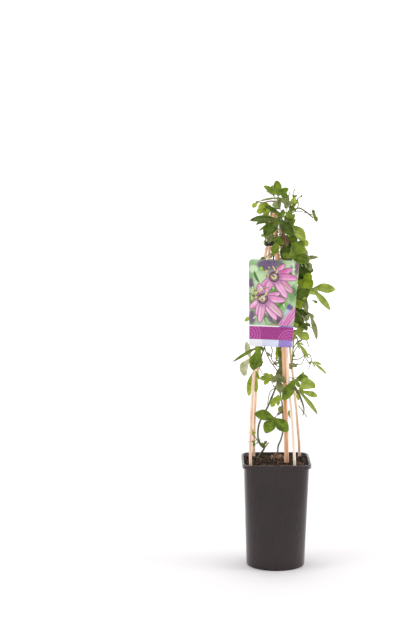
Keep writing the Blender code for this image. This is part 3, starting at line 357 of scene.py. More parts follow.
# Small growth among the leaves: finish, where its stalk starts, the point where its lobes meet, and
# each lobe as (tip, width). It faces the front.
SPRIG_FACE = (0.05, -0.9, 0.4)
SPRIGS = [
    # top of the plant
    ("green", (0.2, 0.2, 74.3), (0.6, -0.7, 75.4), [((2.0, -0.9, 74.7), 1.4)]),
    ("young", (-3.5, 0.2, 73.9), (-4.0, 0.2, 73.6), [((-4.9, -0.1, 72.6), 1.0)]),
    ("young", (-0.6, 1.0, 71.0), (-1.4, 1.2, 72.9), [((-3.8, 0.9, 72.6), 1.7), ((-2.6, 0.9, 71.3), 1.3)]),
    ("dark", (0.9, -0.6, 70.6), (0.5, -0.8, 71.5), [((-2.6, -0.9, 73.0), 0.9)]),
    ("grey", (1.0, -0.4, 71.4), (0.5, -0.5, 72.4), [((0.3, -0.8, 74.6), 0.7)]),
    ("green", (1.4, -0.9, 69.0), (0.8, -1.3, 70.6), [((1.2, -1.6, 72.4), 1.0), ((-0.5, -1.6, 71.8), 0.8)]),
    ("green", (1.6, -0.7, 69.8), (2.0, -1.2, 70.3), [((3.5, -1.5, 71.0), 1.1), ((3.3, -1.7, 69.3), 1.1)]),
    ("young", (2.4, -0.3, 72.2), (2.7, -0.5, 73.2), [((3.0, -0.7, 74.3), 0.7), ((2.1, -0.7, 73.9), 0.6)]),
    ("green", (2.2, -0.3, 71.8), (2.6, -0.6, 72.3), [((3.5, -0.8, 72.6), 0.7), ((2.6, -1.0, 71.6), 0.8)]),
    ("green", (2.4, -0.4, 71.8), (2.9, -0.7, 72.6), [((3.7, -0.9, 73.4), 0.6), ((3.6, -0.8, 72.2), 0.6)]),
    ("green", (2.3, -0.5, 72.6), (2.6, -0.8, 73.2), [((2.9, -0.9, 74.0), 0.5), ((2.0, -0.9, 73.8), 0.6)]),
    ("green", (2.7, -0.3, 74.0), (3.4, -0.5, 74.6), [((3.9, -0.6, 75.2), 0.4), ((3.0, -0.6, 75.3), 0.4)]),
    ("green", (1.9, -0.4, 72.6), (1.8, -0.7, 74.0), [((2.2, -0.9, 75.2), 0.6), ((1.6, -0.9, 72.4), 0.7)]),
    ("green", (1.9, -0.3, 71.0), (2.2, -0.6, 71.4), [((1.5, -0.9, 70.2), 0.9), ((2.9, -0.9, 70.4), 0.8)]),
    # between the tie and the label; the dark sprigs here are painted shade, dark leaves that fill shadowed
    # gaps
    ("young", (4.4, -1.0, 66.6), (5.0, -1.0, 66.2), [((6.1, -1.2, 65.0), 1.4), ((5.1, -1.3, 63.4), 1.3)]),
    ("dark", (1.7, -1.0, 64.6), (1.7, -1.3, 65.8), [((1.8, -1.5, 63.4), 1.6), ((3.0, -1.4, 64.2), 1.1)]),
    ("dark", (1.5, -0.8, 62.6), (2.0, -1.2, 63.9), [((1.0, -1.4, 62.4), 1.3), ((3.2, -1.3, 62.6), 1.7)]),
    ("dry", (1.4, -1.0, 66.0), (1.3, -1.5, 67.4), [((1.9, -1.8, 65.0), 1.2), ((0.7, -1.8, 65.8), 0.9)]),
    ("young", (-1.6, -0.9, 67.0), (-2.2, -1.0, 67.1), [((-3.3, -1.2, 67.1), 0.7)]),
    ("green", (-0.5, 0.6, 63.5), (-2.2, -1.3, 62.8), [((-3.4, -1.7, 62.3), 0.8)]),
    ("dark", (1.6, -0.4, 64.0), (1.4, -0.8, 64.9), [((2.3, -1.0, 62.6), 1.8), ((0.9, -1.1, 63.0), 1.2)]),
    ("green", (1.8, -0.6, 66.6), (2.0, -1.0, 67.0), [((3.6, -1.2, 65.8), 1.6), ((2.4, -1.2, 64.9), 1.3)]),
    ("light", (2.0, -0.4, 65.0), (2.6, -0.9, 65.6), [((4.0, -1.1, 64.6), 1.2)]),
    # right of the label; the dark sprigs here are painted shade, dark leaves that fill the shadowed depths
    # behind
    ("dark", (2.0, 0.0, 61.0), (4.6, 0.2, 61.6), [((6.4, 0.0, 60.6), 2.0), ((4.9, 0.0, 59.5), 1.6)]),
    ("grey", (4.3, -0.1, 63.2), (5.3, -0.3, 63.6), [((6.2, -0.5, 61.5), 1.5)]),
    ("dark", (2.4, 0.6, 56.4), (4.4, 0.2, 56.6), [((5.9, 0.1, 54.6), 2.2), ((4.2, 0.0, 54.4), 1.9)]),
    ("grey", (4.3, 0.4, 54.7), (5.4, -0.4, 54.8), [((6.0, -0.6, 51.6), 1.2)]),
    ("green", (6.8, -1.0, 54.0), (7.3, -1.0, 54.1), [((8.1, -1.2, 53.6), 0.6)]),
    ("dark", (1.6, 0.5, 51.0), (3.4, 0.0, 52.2), [((4.0, -0.2, 49.9), 1.9), ((5.3, -0.2, 51.1), 1.5)]),
    ("young", (3.3, -0.9, 49.8), (3.5, -1.0, 49.6), [((4.3, -1.2, 48.8), 0.8)]),
    ("dark", (2.0, 0.6, 60.0), (4.4, 0.9, 60.6), [((5.6, 0.8, 58.0), 2.6), ((4.4, 0.8, 57.6), 1.8)]),
    ("dark", (2.2, 0.8, 58.0), (5.0, 1.0, 59.6), [((6.9, 0.8, 58.3), 2.0)]),
    ("dark", (2.4, 0.4, 57.4), (6.3, -2.1, 56.3), [((3.9, -2.2, 54.6), 2.8)]),
    ("young", (2.2, 0.2, 54.6), (4.0, -1.0, 53.9), [((5.3, -1.3, 53.5), 1.3), ((3.9, -1.3, 52.7), 1.0)]),
    ("dark", (2.0, 0.6, 54.0), (4.3, 0.6, 54.6), [((5.9, 0.5, 52.6), 2.2), ((4.2, 0.5, 52.2), 1.8)]),
    ("green", (2.0, 0.6, 50.0), (3.9, 0.4, 50.6), [((5.2, 0.3, 48.9), 1.8), ((3.9, 0.3, 48.4), 1.5)]),
    ("dark", (3.0, -0.4, 48.2), (3.9, -0.6, 49.2), [((5.5, -0.8, 48.2), 1.6)]),
    # below the label
    ("dark", (-2.9, -1.8, 42.6), (-2.9, -1.8, 41.8), [((-3.7, -2.0, 40.9), 0.9)]),
    ("young", (-0.1, -0.6, 45.5), (-0.1, -1.2, 44.8), [((0.1, -1.4, 42.2), 0.6)]),
    ("green", (0.6, -0.5, 44.6), (0.4, -0.9, 45.2), [((0.6, -1.2, 42.6), 0.8)]),
    ("young", (-0.5, -1.0, 37.6), (-0.6, -1.9, 38.8), [((-1.6, -2.1, 39.3), 0.8), ((-1.5, -2.2, 38.0), 0.7)]),
    ("grey", (1.2, -0.6, 41.2), (2.6, -1.6, 41.4), [((4.1, -1.8, 40.9), 0.9), ((2.9, -1.9, 40.3), 0.8)]),
    ("grey", (0.7, -0.4, 40.2), (0.9, -1.2, 40.6), [((1.5, -1.5, 38.6), 1.4), ((0.3, -1.5, 39.2), 1.0)]),
    ("young", (3.0, -2.2, 38.4), (5.0, -2.6, 38.9), [((5.3, -2.8, 40.1), 0.6)]),
    ("young", (3.9, -1.9, 35.9), (4.0, -2.0, 35.6), [((4.4, -2.3, 34.1), 0.6)]),
    ("young", (1.3, -0.4, 31.4), (2.4, -0.5, 31.0), [((3.0, -0.6, 32.0), 0.6), ((3.3, -0.7, 30.2), 0.7)]),
    ("green", (-3.6, -0.9, 26.0), (-4.4, -0.8, 25.5), [((-5.6, -1.0, 25.4), 0.5), ((-4.5, -0.9, 24.4), 0.6)]),
    ("green", (-2.5, 0.2, 24.2), (-2.4, -0.5, 24.8), [((-1.9, -0.8, 25.6), 0.6), ((-3.2, -0.8, 24.9), 0.7),
                                                  ((-2.4, -0.8, 24.0), 0.6)]),
]

TWIG_GIRTH = 2.0

# Twigs and loose tendrils: finish, radius at the start and at the end, and the route.
TWIGS = [
    ("brown", 0.08, 0.06, [(2.2, -0.3, 71.6), (3.6, -0.2, 72.3), (4.5, -0.2, 72.5), (5.7, -0.2, 71.8),
                           (6.8, -0.2, 70.9), (7.2, -0.2, 70.6)]),
    ("brown", 0.08, 0.04, [(0.2, 0.0, 73.8), (-1.4, -0.1, 73.9), (-2.9, 0.0, 73.6), (-4.2, 0.1, 73.9)]),
    ("green", 0.07, 0.04, [(2.6, -0.3, 72.3), (3.2, -0.4, 73.6), (3.1, -0.4, 75.2), (3.4, -0.4, 76.2)]),
    ("green", 0.07, 0.04, [(2.7, -0.3, 72.5), (3.5, -0.4, 73.4), (4.1, -0.3, 74.4), (4.8, -0.3, 74.9)]),
    ("green", 0.07, 0.04, [(2.4, -0.4, 71.8), (2.5, -0.6, 73.2), (2.2, -0.6, 74.6), (2.5, -0.5, 75.6)]),
    ("green", 0.06, 0.04, [(2.2, -0.4, 71.4), (3.4, -0.8, 71.9), (4.2, -0.9, 73.2), (4.0, -0.7, 74.1)]),
    ("brown", 0.11, 0.09, [(1.4, -0.9, 69.0), (1.1, -0.9, 67.4), (1.9, -1.0, 65.4), (2.2, -0.9, 63.8),
                           (1.8, -0.9, 62.0)]),
    ("brown", 0.10, 0.08, [(1.0, -0.9, 70.4), (0.7, -1.2, 68.8), (1.4, -1.4, 67.0), (1.2, -1.3, 65.0),
                           (1.6, -1.1, 62.6)]),
    ("pale", 0.07, 0.04, [(2.4, -0.4, 53.4), (3.7, -1.9, 52.2), (5.5, -2.3, 50.4), (6.5, -2.4, 49.1),
                          (7.2, -2.4, 48.6)]),
    ("brown", 0.07, 0.06, [(-2.0, -1.2, 46.4), (-2.4, -1.8, 44.9), (-2.9, -1.9, 43.6), (-3.2, -1.8, 42.3)]),
    ("brown", 0.06, 0.055, [(-2.3, -1.2, 46.0), (-2.4, -1.8, 44.7), (-1.5, -1.8, 42.4), (-0.3, -1.4, 40.6),
                           (0.3, -0.9, 39.6)]),
    ("brown", 0.055, 0.05, [(-1.2, -1.0, 45.8), (-0.9, -1.5, 44.0), (-1.1, -1.6, 42.6), (-0.2, -1.5, 41.2),
                           (0.4, -1.0, 40.8)]),
    ("green", 0.14, 0.12, [(0.9, 0.3, 46.4), (1.2, -0.6, 44.0), (0.9, -0.8, 41.6), (1.0, -0.7, 39.0),
                           (0.6, -0.5, 37.4)]),
    ("green", 0.12, 0.12, [(0.4, -0.1, 46.0), (0.4, -0.7, 43.6), (1.2, -0.9, 41.4), (0.6, -0.9, 39.2),
                           (0.4, -0.8, 37.8)]),
    ("green", 0.07, 0.06, [(3.4, -0.6, 46.6), (3.3, -0.9, 44.8), (3.2, -1.0, 42.5), (2.9, -1.0, 40.9),
                           (1.8, -0.7, 39.8)]),
    ("pale", 0.05, 0.04, [(3.2, -1.0, 43.0), (4.2, -1.1, 44.9), (5.2, -1.1, 44.6), (5.6, -1.0, 42.9),
                           (5.0, -1.0, 41.4), (4.1, -1.1, 41.2)]),
    ("pale", 0.05, 0.04, [(3.2, -1.0, 42.2), (4.6, -1.2, 42.4), (6.2, -1.2, 43.4), (7.0, -1.1, 42.2),
                           (6.4, -1.0, 40.2)]),
    ("pale", 0.05, 0.04, [(3.2, -1.0, 44.2), (4.2, -1.0, 45.8), (5.8, -1.0, 46.2), (6.4, -1.1, 45.0)]),
    ("green", 0.05, 0.03, [(-3.2, -1.7, 41.8), (-3.4, -1.6, 40.6), (-2.9, -1.6, 39.6), (-2.2, -1.7, 38.8)]),
    ("pale", 0.05, 0.04, [(-0.3, -1.8, 36.6), (-1.2, -1.8, 35.9), (-1.6, -1.7, 34.6), (-1.8, -1.6, 33.1)]),
    # The dark twig's skin is painted shade.
    ("dark", 0.17, 0.04, [(2.9, -1.4, 37.9), (3.6, -1.8, 36.8), (4.8, -2.0, 34.6), (5.5, -2.0, 32.4),
                          (5.3, -2.0, 31.0)]),
    ("brown", 0.06, 0.05, [(1.3, -0.5, 31.4), (0.2, -1.4, 31.0), (0.5, -1.5, 31.6), (0.8, -1.5, 32.0)]),
    ("pale", 0.05, 0.04, [(4.4, -1.6, 33.0), (5.6, -1.7, 31.4), (6.2, -1.7, 30.6)]),
]

# Flower buds and coiled tips: middle and radius.
BUD_GIRTH = 1.25
BUD_AXIS = (0.2, -0.1, 1)
BUDS = [((3.4, -0.4, 76.2), 0.12), ((4.8, -0.3, 74.9), 0.16), ((4.0, -0.7, 74.1), 0.14),
        ((2.5, -0.5, 75.6), 0.1), ((3.6, -0.5, 72.1), 0.16), ((-1.5, -1.7, 43.3), 0.2),
        ((-1.1, -1.7, 43.0), 0.17), ((-1.8, -1.7, 43.6), 0.15), ((0.0, -1.6, 41.5), 0.17),
        ((-0.3, -1.6, 41.8), 0.14), ((0.2, -1.6, 40.0), 0.17), ((0.0, -1.7, 39.5), 0.18),
        ((0.5, -1.5, 40.4), 0.14), ((3.5, -1.1, 43.0), 0.17), ((4.1, -1.1, 41.3), 0.13),
        ((6.3, -1.2, 45.0), 0.1), ((0.8, -1.5, 32.2), 0.4)]

# Thickets of little leaves close about a stem: the stem, the heights, the count and the reach.
# Up to a little above the label's hole their leaves stay on the label's far side.
THICKET_CLEAR = 3.2
THICKET_SPREAD = 1.15
SPRIG_STALK = 0.07
THICKET_STALK = 0.05
THICKETS = [("main_stem", 61.5, 72.5, 22, 1.5), ("second_stem", 62.0, 71.0, 20, 1.5),
            ("second_stem", 46.5, 60.5, 16, 2.2), ("main_stem", 47.0, 60.0, 8, 1.6),
            ("main_stem", 37.5, 44.0, 8, 1.2)]


# ---------------------------------------------------------------- shared geometry

def vec(point):
    """A table point in centimetres as a vector in metres."""
    return Vector(point) * CM


def spline_points(points, step):
    """Points about `step` apart on a smooth curve through the given ones."""
    ends = [points[0] * 2 - points[1], *points, points[-1] * 2 - points[-2]]
    path = []
    for i in range(1, len(ends) - 2):
        a, b, c, d = ends[i - 1:i + 3]
        count = max(1, round((c - b).length / step))
        for k in range(count):
            t = k / count
            path.append(0.5 * (2 * b + (c - a) * t + (2 * a - 5 * b + 4 * c - d) * t ** 2
                               + (3 * b - a - 3 * c + d) * t ** 3))
    return path + [points[-1]]


def smooth_route(points, step):
    """A smooth path through table points, with its step in centimetres."""
    return spline_points([vec(p) for p in points], step * CM)


def sweep(bm, path, radii, sides=12, mat=0):
    """A closed round tube along a path, with one radius for each of its points."""
    rings = []
    normal = (path[1] - path[0]).orthogonal().normalized()
    last = len(path) - 1
    for i, point in enumerate(path):
        along = (path[min(i + 1, last)] - path[max(i - 1, 0)]).normalized()
        normal = (normal - along * normal.dot(along)).normalized()
        side = along.cross(normal)
        turns = [k * TAU / sides for k in range(sides)]
        rings.append([bm.verts.new(point + (normal * math.cos(t) + side * math.sin(t)) * radii[i])
                      for t in turns])
    faces = [bm.faces.new(rings[0][::-1]), bm.faces.new(rings[-1])]
    for lower, upper in zip(rings, rings[1:]):
        for k in range(sides):
            j = (k + 1) % sides
            faces.append(bm.faces.new((lower[k], lower[j], upper[j], upper[k])))
    for face in faces:
        face.material_index = mat


def rounded_ends(path, radius, bevel):
    """The path with two close points added at each end, and radii that round the ends off."""
    first = (path[1] - path[0]).normalized() * bevel
    last = (path[-1] - path[-2]).normalized() * bevel
    points = [path[0], path[0] + first * 0.3, path[0] + first, *path[1:-1], path[-1] - last,
              path[-1] - last * 0.3, path[-1]]
    small = [radius - bevel, radius - bevel * 0.3, radius]
    return points, [*small, *[radius] * (len(points) - 6), *small[::-1]]


def knob(bm, centre, radii, axis, mat=0, level=2, rough=0.0):
    """An ellipsoid whose long side lies along `axis`, roughened by noise."""
    turn = Vector((0, 0, 1)).rotation_difference(axis.normalized()).to_matrix()
    made = bmesh.ops.create_icosphere(bm, subdivisions=level, radius=1.0)
    for vert in made["verts"]:
        bump = 1.0 + rough * noise.noise(vert.co * 1.7 + centre * 900)
        local = Vector([vert.co[i] * radii[i] * bump for i in range(3)])
        vert.co = centre + turn @ local
    for face in {f for v in made["verts"] for f in v.link_faces}:
        face.material_index = mat


def mesh_from(name, bm):
    """A mesh made from the working mesh, which is freed."""
    mesh = bpy.data.meshes.new(name)
    bm.to_mesh(mesh)
    bm.free()
    return mesh


def add_object(name, data):
    obj = bpy.data.objects.new(name, data)
    bpy.context.scene.collection.objects.link(obj)
    return obj


def piece(name, bm, materials, stands_for=None, fix_normals=True):
    """Make a mesh a piece of the plant: smooth, with its finishes, riding on the one body."""
    if fix_normals:
        bmesh.ops.recalc_face_normals(bm, faces=bm.faces)
    mesh = mesh_from(name, bm)
    for mat in materials:
        mesh.materials.append(mat)
    mesh.shade_smooth()
    obj = add_object(name, mesh)
    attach(obj, "root")
    if stands_for:
        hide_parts(stands_for)
    return obj


def carve(obj, bm):
    """Cut a closed shape out of a piece, and keep only the result."""
    cutter = add_object("cutter", mesh_from("cutter", bm))
    modifier = obj.modifiers.new("Cut", "BOOLEAN")
    modifier.operation = "DIFFERENCE"
    modifier.solver = "EXACT"
    modifier.object = cutter
    evaluated = obj.evaluated_get(bpy.context.evaluated_depsgraph_get())
    obj.data = bpy.data.meshes.new_from_object(evaluated)
    obj.modifiers.clear()
    bpy.data.objects.remove(cutter, do_unlink=True)


def smooth_step(value, low, high):
    share = min(1.0, max(0.0, (value - low) / (high - low)))
    return share * share * (3 - 2 * share)


# ---------------------------------------------------------------- finishes

def srgb(red, green, blue):
    """A display colour, 0 to 255, as linear light."""
    linear = []
    for value in (red, green, blue):
        share = value / 255
        linear.append(share / 12.92 if share <= 0.04045 else ((share + 0.055) / 1.055) ** 2.4)
    return (*linear, 1.0)


def colours(table):
    return [srgb(*colour) for colour in table]


class Finish:
    """A procedural material: a Principled shader fed by nodes that these methods add."""

    def __init__(self, name, **sockets):
        self.mat = bpy.data.materials.new(name)
        self.mat.use_nodes = True
        self.tree = self.mat.node_tree
        self.shader = self.tree.nodes["Principled BSDF"]
        for socket, value in sockets.items():
            self.shader.inputs[socket.replace("_", " ")].default_value = value

    def node(self, kind, inputs=(), **settings):
        made = self.tree.nodes.new("ShaderNode" + kind)
        for key, value in settings.items():
            setattr(made, key, value)
        for socket, value in dict(inputs).items():
            if isinstance(value, bpy.types.NodeSocket):
                self.tree.links.new(value, made.inputs[socket])
            else:
                made.inputs[socket].default_value = value
        return made

    def coords(self, scale=(1, 1, 1)):
        place = self.node("TexCoord").outputs["Object"]
        return self.node("Mapping", {"Vector": place, "Scale": scale}).outputs[0]

    def noise(self, scale, detail=3.0, stretch=(1, 1, 1), rough=0.5):
        inputs = {"Vector": self.coords(stretch), "Scale": scale, "Detail": detail, "Roughness": rough}
        return self.node("TexNoise", inputs).outputs["Fac"]

    def value(self, name):
        return self.node("Attribute", attribute_name=name).outputs["Fac"]

    def math(self, operation, *values):
        return self.node("Math", dict(enumerate(values)), operation=operation).outputs[0]

    def remap(self, value, low, high, new_low=0.0, new_high=1.0):
        inputs = {0: value, 1: low, 2: high, 3: new_low, 4: new_high}
        return self.node("MapRange", inputs, interpolation_type="SMOOTHSTEP").outputs[0]

    def mix(self, factor, first, second):
        return self.node("Mix", {0: factor, 6: first, 7: second}, data_type="RGBA").outputs[2]

    def ramp(self, factor, stops):
        made = self.node("ValToRGB", {"Fac": factor})
        elements = made.color_ramp.elements
        while len(elements) < len(stops):
            elements.new(0.5)
        for element, (position, colour) in zip(elements, stops):
            element.position = position
            element.color = colour
        return made.outputs["Color"]

    def color(self, value):
        self.tree.links.new(value, self.shader.inputs["Base Color"])

    def roughness(self, value):
        self.tree.links.new(value, self.shader.inputs["Roughness"])

    def bump(self, height, depth, strength=1.0):
        """Relief `depth` metres deep; a second call adds to the first."""
        inputs = {"Height": height, "Distance": depth, "Strength": strength}
        before = self.shader.inputs["Normal"].links
        if before:
            inputs["Normal"] = before[0].from_socket
        made = self.node("Bump", inputs)
        self.tree.links.new(made.outputs[0], self.shader.inputs["Normal"])


def pot_finish():
    look = Finish("pot_plastic", IOR=1.42)
    cloud = look.noise(9, 4)
    look.color(look.ramp(cloud, [(0.3, srgb(40, 31, 31)), (0.7, srgb(49, 39, 38))]))
    grain = look.noise(1400, 2)
    flow = look.noise(30, 3, (1, 1, 0.08))
    look.roughness(look.remap(flow, 0.3, 0.7, 0.2, 0.32))
    look.bump(grain, 0.00004, 0.35)
    look.bump(flow, 0.00012, 0.2)
    return look.mat


def soil_finish(name, dark, light, fleck):
    look = Finish(name, Roughness=0.95)
    base = look.ramp(look.noise(150, 6, rough=0.65), [(0.38, dark), (0.66, light)])
    specks = look.remap(look.noise(290, 3), 0.59, 0.66)
    look.color(look.mix(specks, base, fleck))
    look.bump(look.noise(300, 5), 0.0018, 1.0)
    return look.mat


def cane_finish(name, deep, warm, pale):
    """Smooth wood with fine streaks along the cane."""
    look = Finish(name)
    streak = look.noise(260, 4, (1, 1, 0.03))
    patch = look.noise(16, 3, (1, 1, 0.25))
    wood = look.ramp(streak, [(0.32, deep), (0.5, warm), (0.72, pale)])
    look.color(look.mix(look.remap(patch, 0.4, 0.75, 0.0, 0.5), wood, pale))
    look.roughness(look.remap(streak, 0.3, 0.7, 0.38, 0.52))
    look.bump(streak, 0.00025, 0.5)
    return look.mat


def rubber_finish(name):
    look = Finish(name)
    grain = look.noise(900, 3)
    look.color(look.mix(grain, srgb(16, 15, 15), srgb(34, 32, 31)))
    look.roughness(look.remap(grain, 0.3, 0.7, 0.5, 0.65))
    look.bump(grain, 0.00008, 0.5)
    return look.mat


def add_gloss(look):
    """The label's satin surface, with its faint grain."""
    look.roughness(look.remap(look.noise(40, 3), 0.3, 0.7, 0.26, 0.36))
    look.bump(look.noise(900, 2), 0.00002, 0.3)


def card_finish():
    """The label's own plastic, white where nothing is printed."""
    look = Finish("label_card", IOR=1.5, Coat_Weight=0.2)
    look.color(look.mix(look.noise(60, 2), srgb(236, 236, 241), srgb(245, 245, 249)))
    add_gloss(look)
    return look.mat


def ink_finish():
    """Printing whose colour each drawn shape carries with it, with the print's fine grain."""
    look = Finish("label_ink", IOR=1.5, Coat_Weight=0.2)
    colour = look.node("Attribute", attribute_name="ink").outputs["Color"]
    grain = look.remap(look.noise(700, 3), 0.4, 0.75, 0.0, 0.1)
    look.color(look.mix(grain, colour, srgb(250, 240, 250)))
    add_gloss(look)
    return look.mat


def skin_finish(name):
    """The mottled skin of a stem, stalk or twig, ridged along its length."""
    green, brown, pale = colours(SKIN_COLOURS[name])
    look = Finish(name)
    patch = look.noise(70, 4, (1, 1, 0.35))
    base = look.ramp(patch, [(0.3, brown), (0.5, green), (0.75, pale)])
    ridge = look.noise(520, 3, (1, 1, 0.06))
    look.color(look.mix(look.remap(ridge, 0.55, 0.75, 0.0, 0.4), base, pale))
    look.roughness(look.remap(ridge, 0.3, 0.7, 0.42, 0.6))
    look.bump(ridge, 0.0003, 0.6)
    return look.mat


def vein_lines(look, vein_half, side_half):
    """Masks of a leaf's midribs and of the side veins that curve away from them."""
    along = look.value("vein_along")
    across = look.value("vein_across")
    rib = look.remap(across, vein_half * 0.4, vein_half, 1.0, 0.0)
    rise = look.math("MULTIPLY", across, 1.05)
    curve = look.math("MULTIPLY", look.math("POWER", across, 2.0), 0.45)
    phase = look.math("SUBTRACT", look.math("SUBTRACT", along, rise), curve)
    wave = look.math("PINGPONG", look.math("DIVIDE", phase, 0.46), 0.5)
    side = look.remap(wave, side_half * 0.3, side_half, 1.0, 0.0)
    return rib, side


def leaf_finish(name, deep, fresh, vein):
    """A leaf's upper side: mottled green, with pale midribs and faint side veins."""
    look = Finish(name, IOR=1.3)
    rib, side = vein_lines(look, 0.035, 0.09)
    tint = look.ramp(look.noise(70, 5, rough=0.6), [(0.36, deep), (0.64, fresh)])
    mottle = look.remap(look.noise(600, 3), 0.45, 0.75, 0.0, 0.3)
    tint = look.mix(mottle, tint, fresh)
    margin = look.remap(look.value("vein_edge"), 0.86, 1.0, 0.0, 0.35)
    tint = look.mix(margin, tint, vein)
    tint = look.mix(look.math("MULTIPLY", side, 0.45), tint, vein)
    look.color(look.mix(look.math("MULTIPLY", rib, 0.7), tint, vein))
    look.roughness(look.remap(look.noise(180, 3), 0.3, 0.7, 0.42, 0.58))
    sunk = look.math("ADD", rib, look.math("MULTIPLY", side, 0.6))
    look.bump(look.math("SUBTRACT", 1.0, sunk), 0.0004, 0.6)
    look.bump(look.noise(750, 3), 0.00012, 0.5)
    return look.mat


def underside_finish(name, deep, fresh, vein):
    """A leaf's lower side: paler and duller, with the veins standing proud."""
    look = Finish(name)
    rib, side = vein_lines(look, 0.05, 0.11)
    tint = look.ramp(look.noise(60, 3), [(0.3, deep), (0.7, fresh)])
    lines = look.math("MAXIMUM", rib, look.math("MULTIPLY", side, 0.7))
    look.color(look.mix(look.math("MULTIPLY", lines, 0.7), tint, vein))
    look.roughness(look.remap(look.noise(300, 2), 0.3, 0.7, 0.55, 0.7))
    look.bump(lines, 0.0004, 0.7)
    return look.mat


# ---------------------------------------------------------------- pot and soil

def rounded_square(half, corner, height):
    """A level loop of points, counter-clockwise, whose corners are arcs."""
    loop = []
    for quarter in range(4):
        start = quarter * math.pi / 2
        across = half - corner
        centre = (across * (1 if quarter in (0, 3) else -1), across * (1 if quarter < 2 else -1))
        for i in range(CORNER_STEPS + 1):
            angle = start + i * math.pi / 2 / CORNER_STEPS
            loop.append(vec((centre[0] + corner * math.cos(angle),
                             centre[1] + corner * math.sin(angle), height)))
    return loop


def wall_section(height, inset):
    """The pot wall's outline at a height, moved in by `inset`."""
    rise = height / (POT_HEIGHT - SKIRT_DROP)
    half = FOOT_RADIUS + (WALL_TOP_HALF - FOOT_RADIUS) * rise
    corner = FOOT_RADIUS + (WALL_TOP_CORNER - FOOT_RADIUS) * min(1.0, rise)
    return rounded_square(half - inset, corner - inset, height)


def loft(bm, loops):
    """Join successive loops with side faces and return their vertex rings."""
    rings = [[bm.verts.new(point) for point in loop] for loop in loops]
    for lower, upper in zip(rings, rings[1:]):
        for i in range(len(lower)):
            j = (i + 1) % len(lower)
            bm.faces.new((lower[i], lower[j], upper[j], upper[i]))
    return rings


def build_pot():
    skirt_foot = POT_HEIGHT - SKIRT_DROP
    levels = [0.3 + (skirt_foot - 0.4) * i / 12 for i in range(13)]
    loops = [rounded_square(FOOT_RADIUS - 0.45, FOOT_RADIUS - 0.45, 0.06),
             rounded_square(FOOT_RADIUS - 0.4, FOOT_RADIUS - 0.4, 0.0),
             rounded_square(FOOT_RADIUS - 0.18, FOOT_RADIUS - 0.18, 0.0),
             wall_section(0.05, 0.08), wall_section(0.16, 0.02)]
    loops += [wall_section(level, 0.0) for level in levels]
    # The folded rim: out, down-turned skirt edge, up the outside, over the top and in.
    rim = [(WALL_TOP_HALF + 0.06, WALL_TOP_CORNER + 0.02, skirt_foot + 0.02),
           (RIM_HALF - 0.12, RIM_CORNER - 0.06, skirt_foot),
           (RIM_HALF - 0.05, RIM_CORNER, skirt_foot + 0.04),
           (RIM_HALF - 0.01, RIM_CORNER, skirt_foot + 0.16),
           (RIM_HALF, RIM_CORNER, POT_HEIGHT - 0.22),
           (RIM_HALF - 0.02, RIM_CORNER, POT_HEIGHT - 0.09),
           (RIM_HALF - 0.08, RIM_CORNER - 0.04, POT_HEIGHT - 0.02),
           (RIM_HALF - 0.16, RIM_CORNER - 0.1, POT_HEIGHT),
           (LIP_INNER_HALF + 0.06, RIM_CORNER - 0.26, POT_HEIGHT),
           (LIP_INNER_HALF - 0.01, RIM_CORNER - 0.3, POT_HEIGHT - 0.05)]
    loops += [rounded_square(*section) for section in rim]
    inside = [skirt_foot - 0.1, skirt_foot * 0.75, skirt_foot / 2, skirt_foot / 4, FLOOR + 0.1]
    loops += [wall_section(level, WALL) for level in inside]
    loops.append(wall_section(FLOOR, WALL + 0.1))
    bm = bmesh.new()
    rings = loft(bm, loops)
    bm.faces.new(reversed(rings[0]))
    bm.faces.new(rings[-1])
    pot = piece("pot_fine", bm, [pot_finish()], "pot")
    bm = bmesh.new()
    for i in range(DRAIN_COUNT):
        angle = (i + 0.5) * TAU / DRAIN_COUNT
        made = bmesh.ops.create_cone(bm, cap_ends=True, segments=24, radius1=DRAIN_RADIUS * CM,
                                     radius2=DRAIN_RADIUS * CM, depth=4 * FLOOR * CM)
        shift = vec((DRAIN_CIRCLE * math.cos(angle), DRAIN_CIRCLE * math.sin(angle), 0.0))
        bmesh.ops.translate(bm, verts=made["verts"], vec=shift)
    carve(pot, bm)
    pot.data.set_sharp_from_angle(angle=math.radians(50))


def soil_height(x, y):
    """Height of the soil's top: level at the wall, mounded and lumpy inside, crumbly all over."""
    reach = max(abs(x), abs(y)) / WALL_TOP_HALF
    mound = SOIL_MOUND * max(0.0, 1.0 - reach ** 2)
    height = SOIL_LEVEL + SOIL_RISE + mound + SOIL_LUMP * noise.noise(Vector((x * 0.9, y * 0.9, 3.1)))
    crumbs = sum(noise.noise(Vector((x, y, 0.7)) * scale) / scale ** 0.6 for scale in (2.1, 4.3, 8.7))
    return height + SOIL_CRUMB * crumbs


def build_soil():
    clearance = WALL + 0.03
    edge = wall_section(SOIL_LEVEL, clearance)
    loops = [wall_section(FLOOR + 0.03, clearance), wall_section(SOIL_LEVEL / 2, clearance)]
    loops.append(wall_section(SOIL_LEVEL - 0.4, clearance))
    for k in range(SOIL_RING_COUNT):
        share = 1 - k / SOIL_RING_COUNT
        ring = []
        for point in edge:
            x, y = point.x * share / CM, point.y * share / CM
            ring.append(vec((x, y, soil_height(x, y))))
        loops.append(ring)
    bm = bmesh.new()
    rings = loft(bm, loops)
    bm.faces.new(reversed(rings[0]))
    middle = bm.verts.new(vec((0.0, 0.0, soil_height(0.0, 0.0))))
    top = rings[-1]
    for i in range(len(top)):
        bm.faces.new((top[i], top[(i + 1) % len(top)], middle))
    earth = soil_finish("potting_soil", srgb(14, 8, 4), srgb(62, 42, 30), srgb(160, 118, 82))
    piece("soil_fine", bm, [earth], "soil")
    build_crumbs(earth)


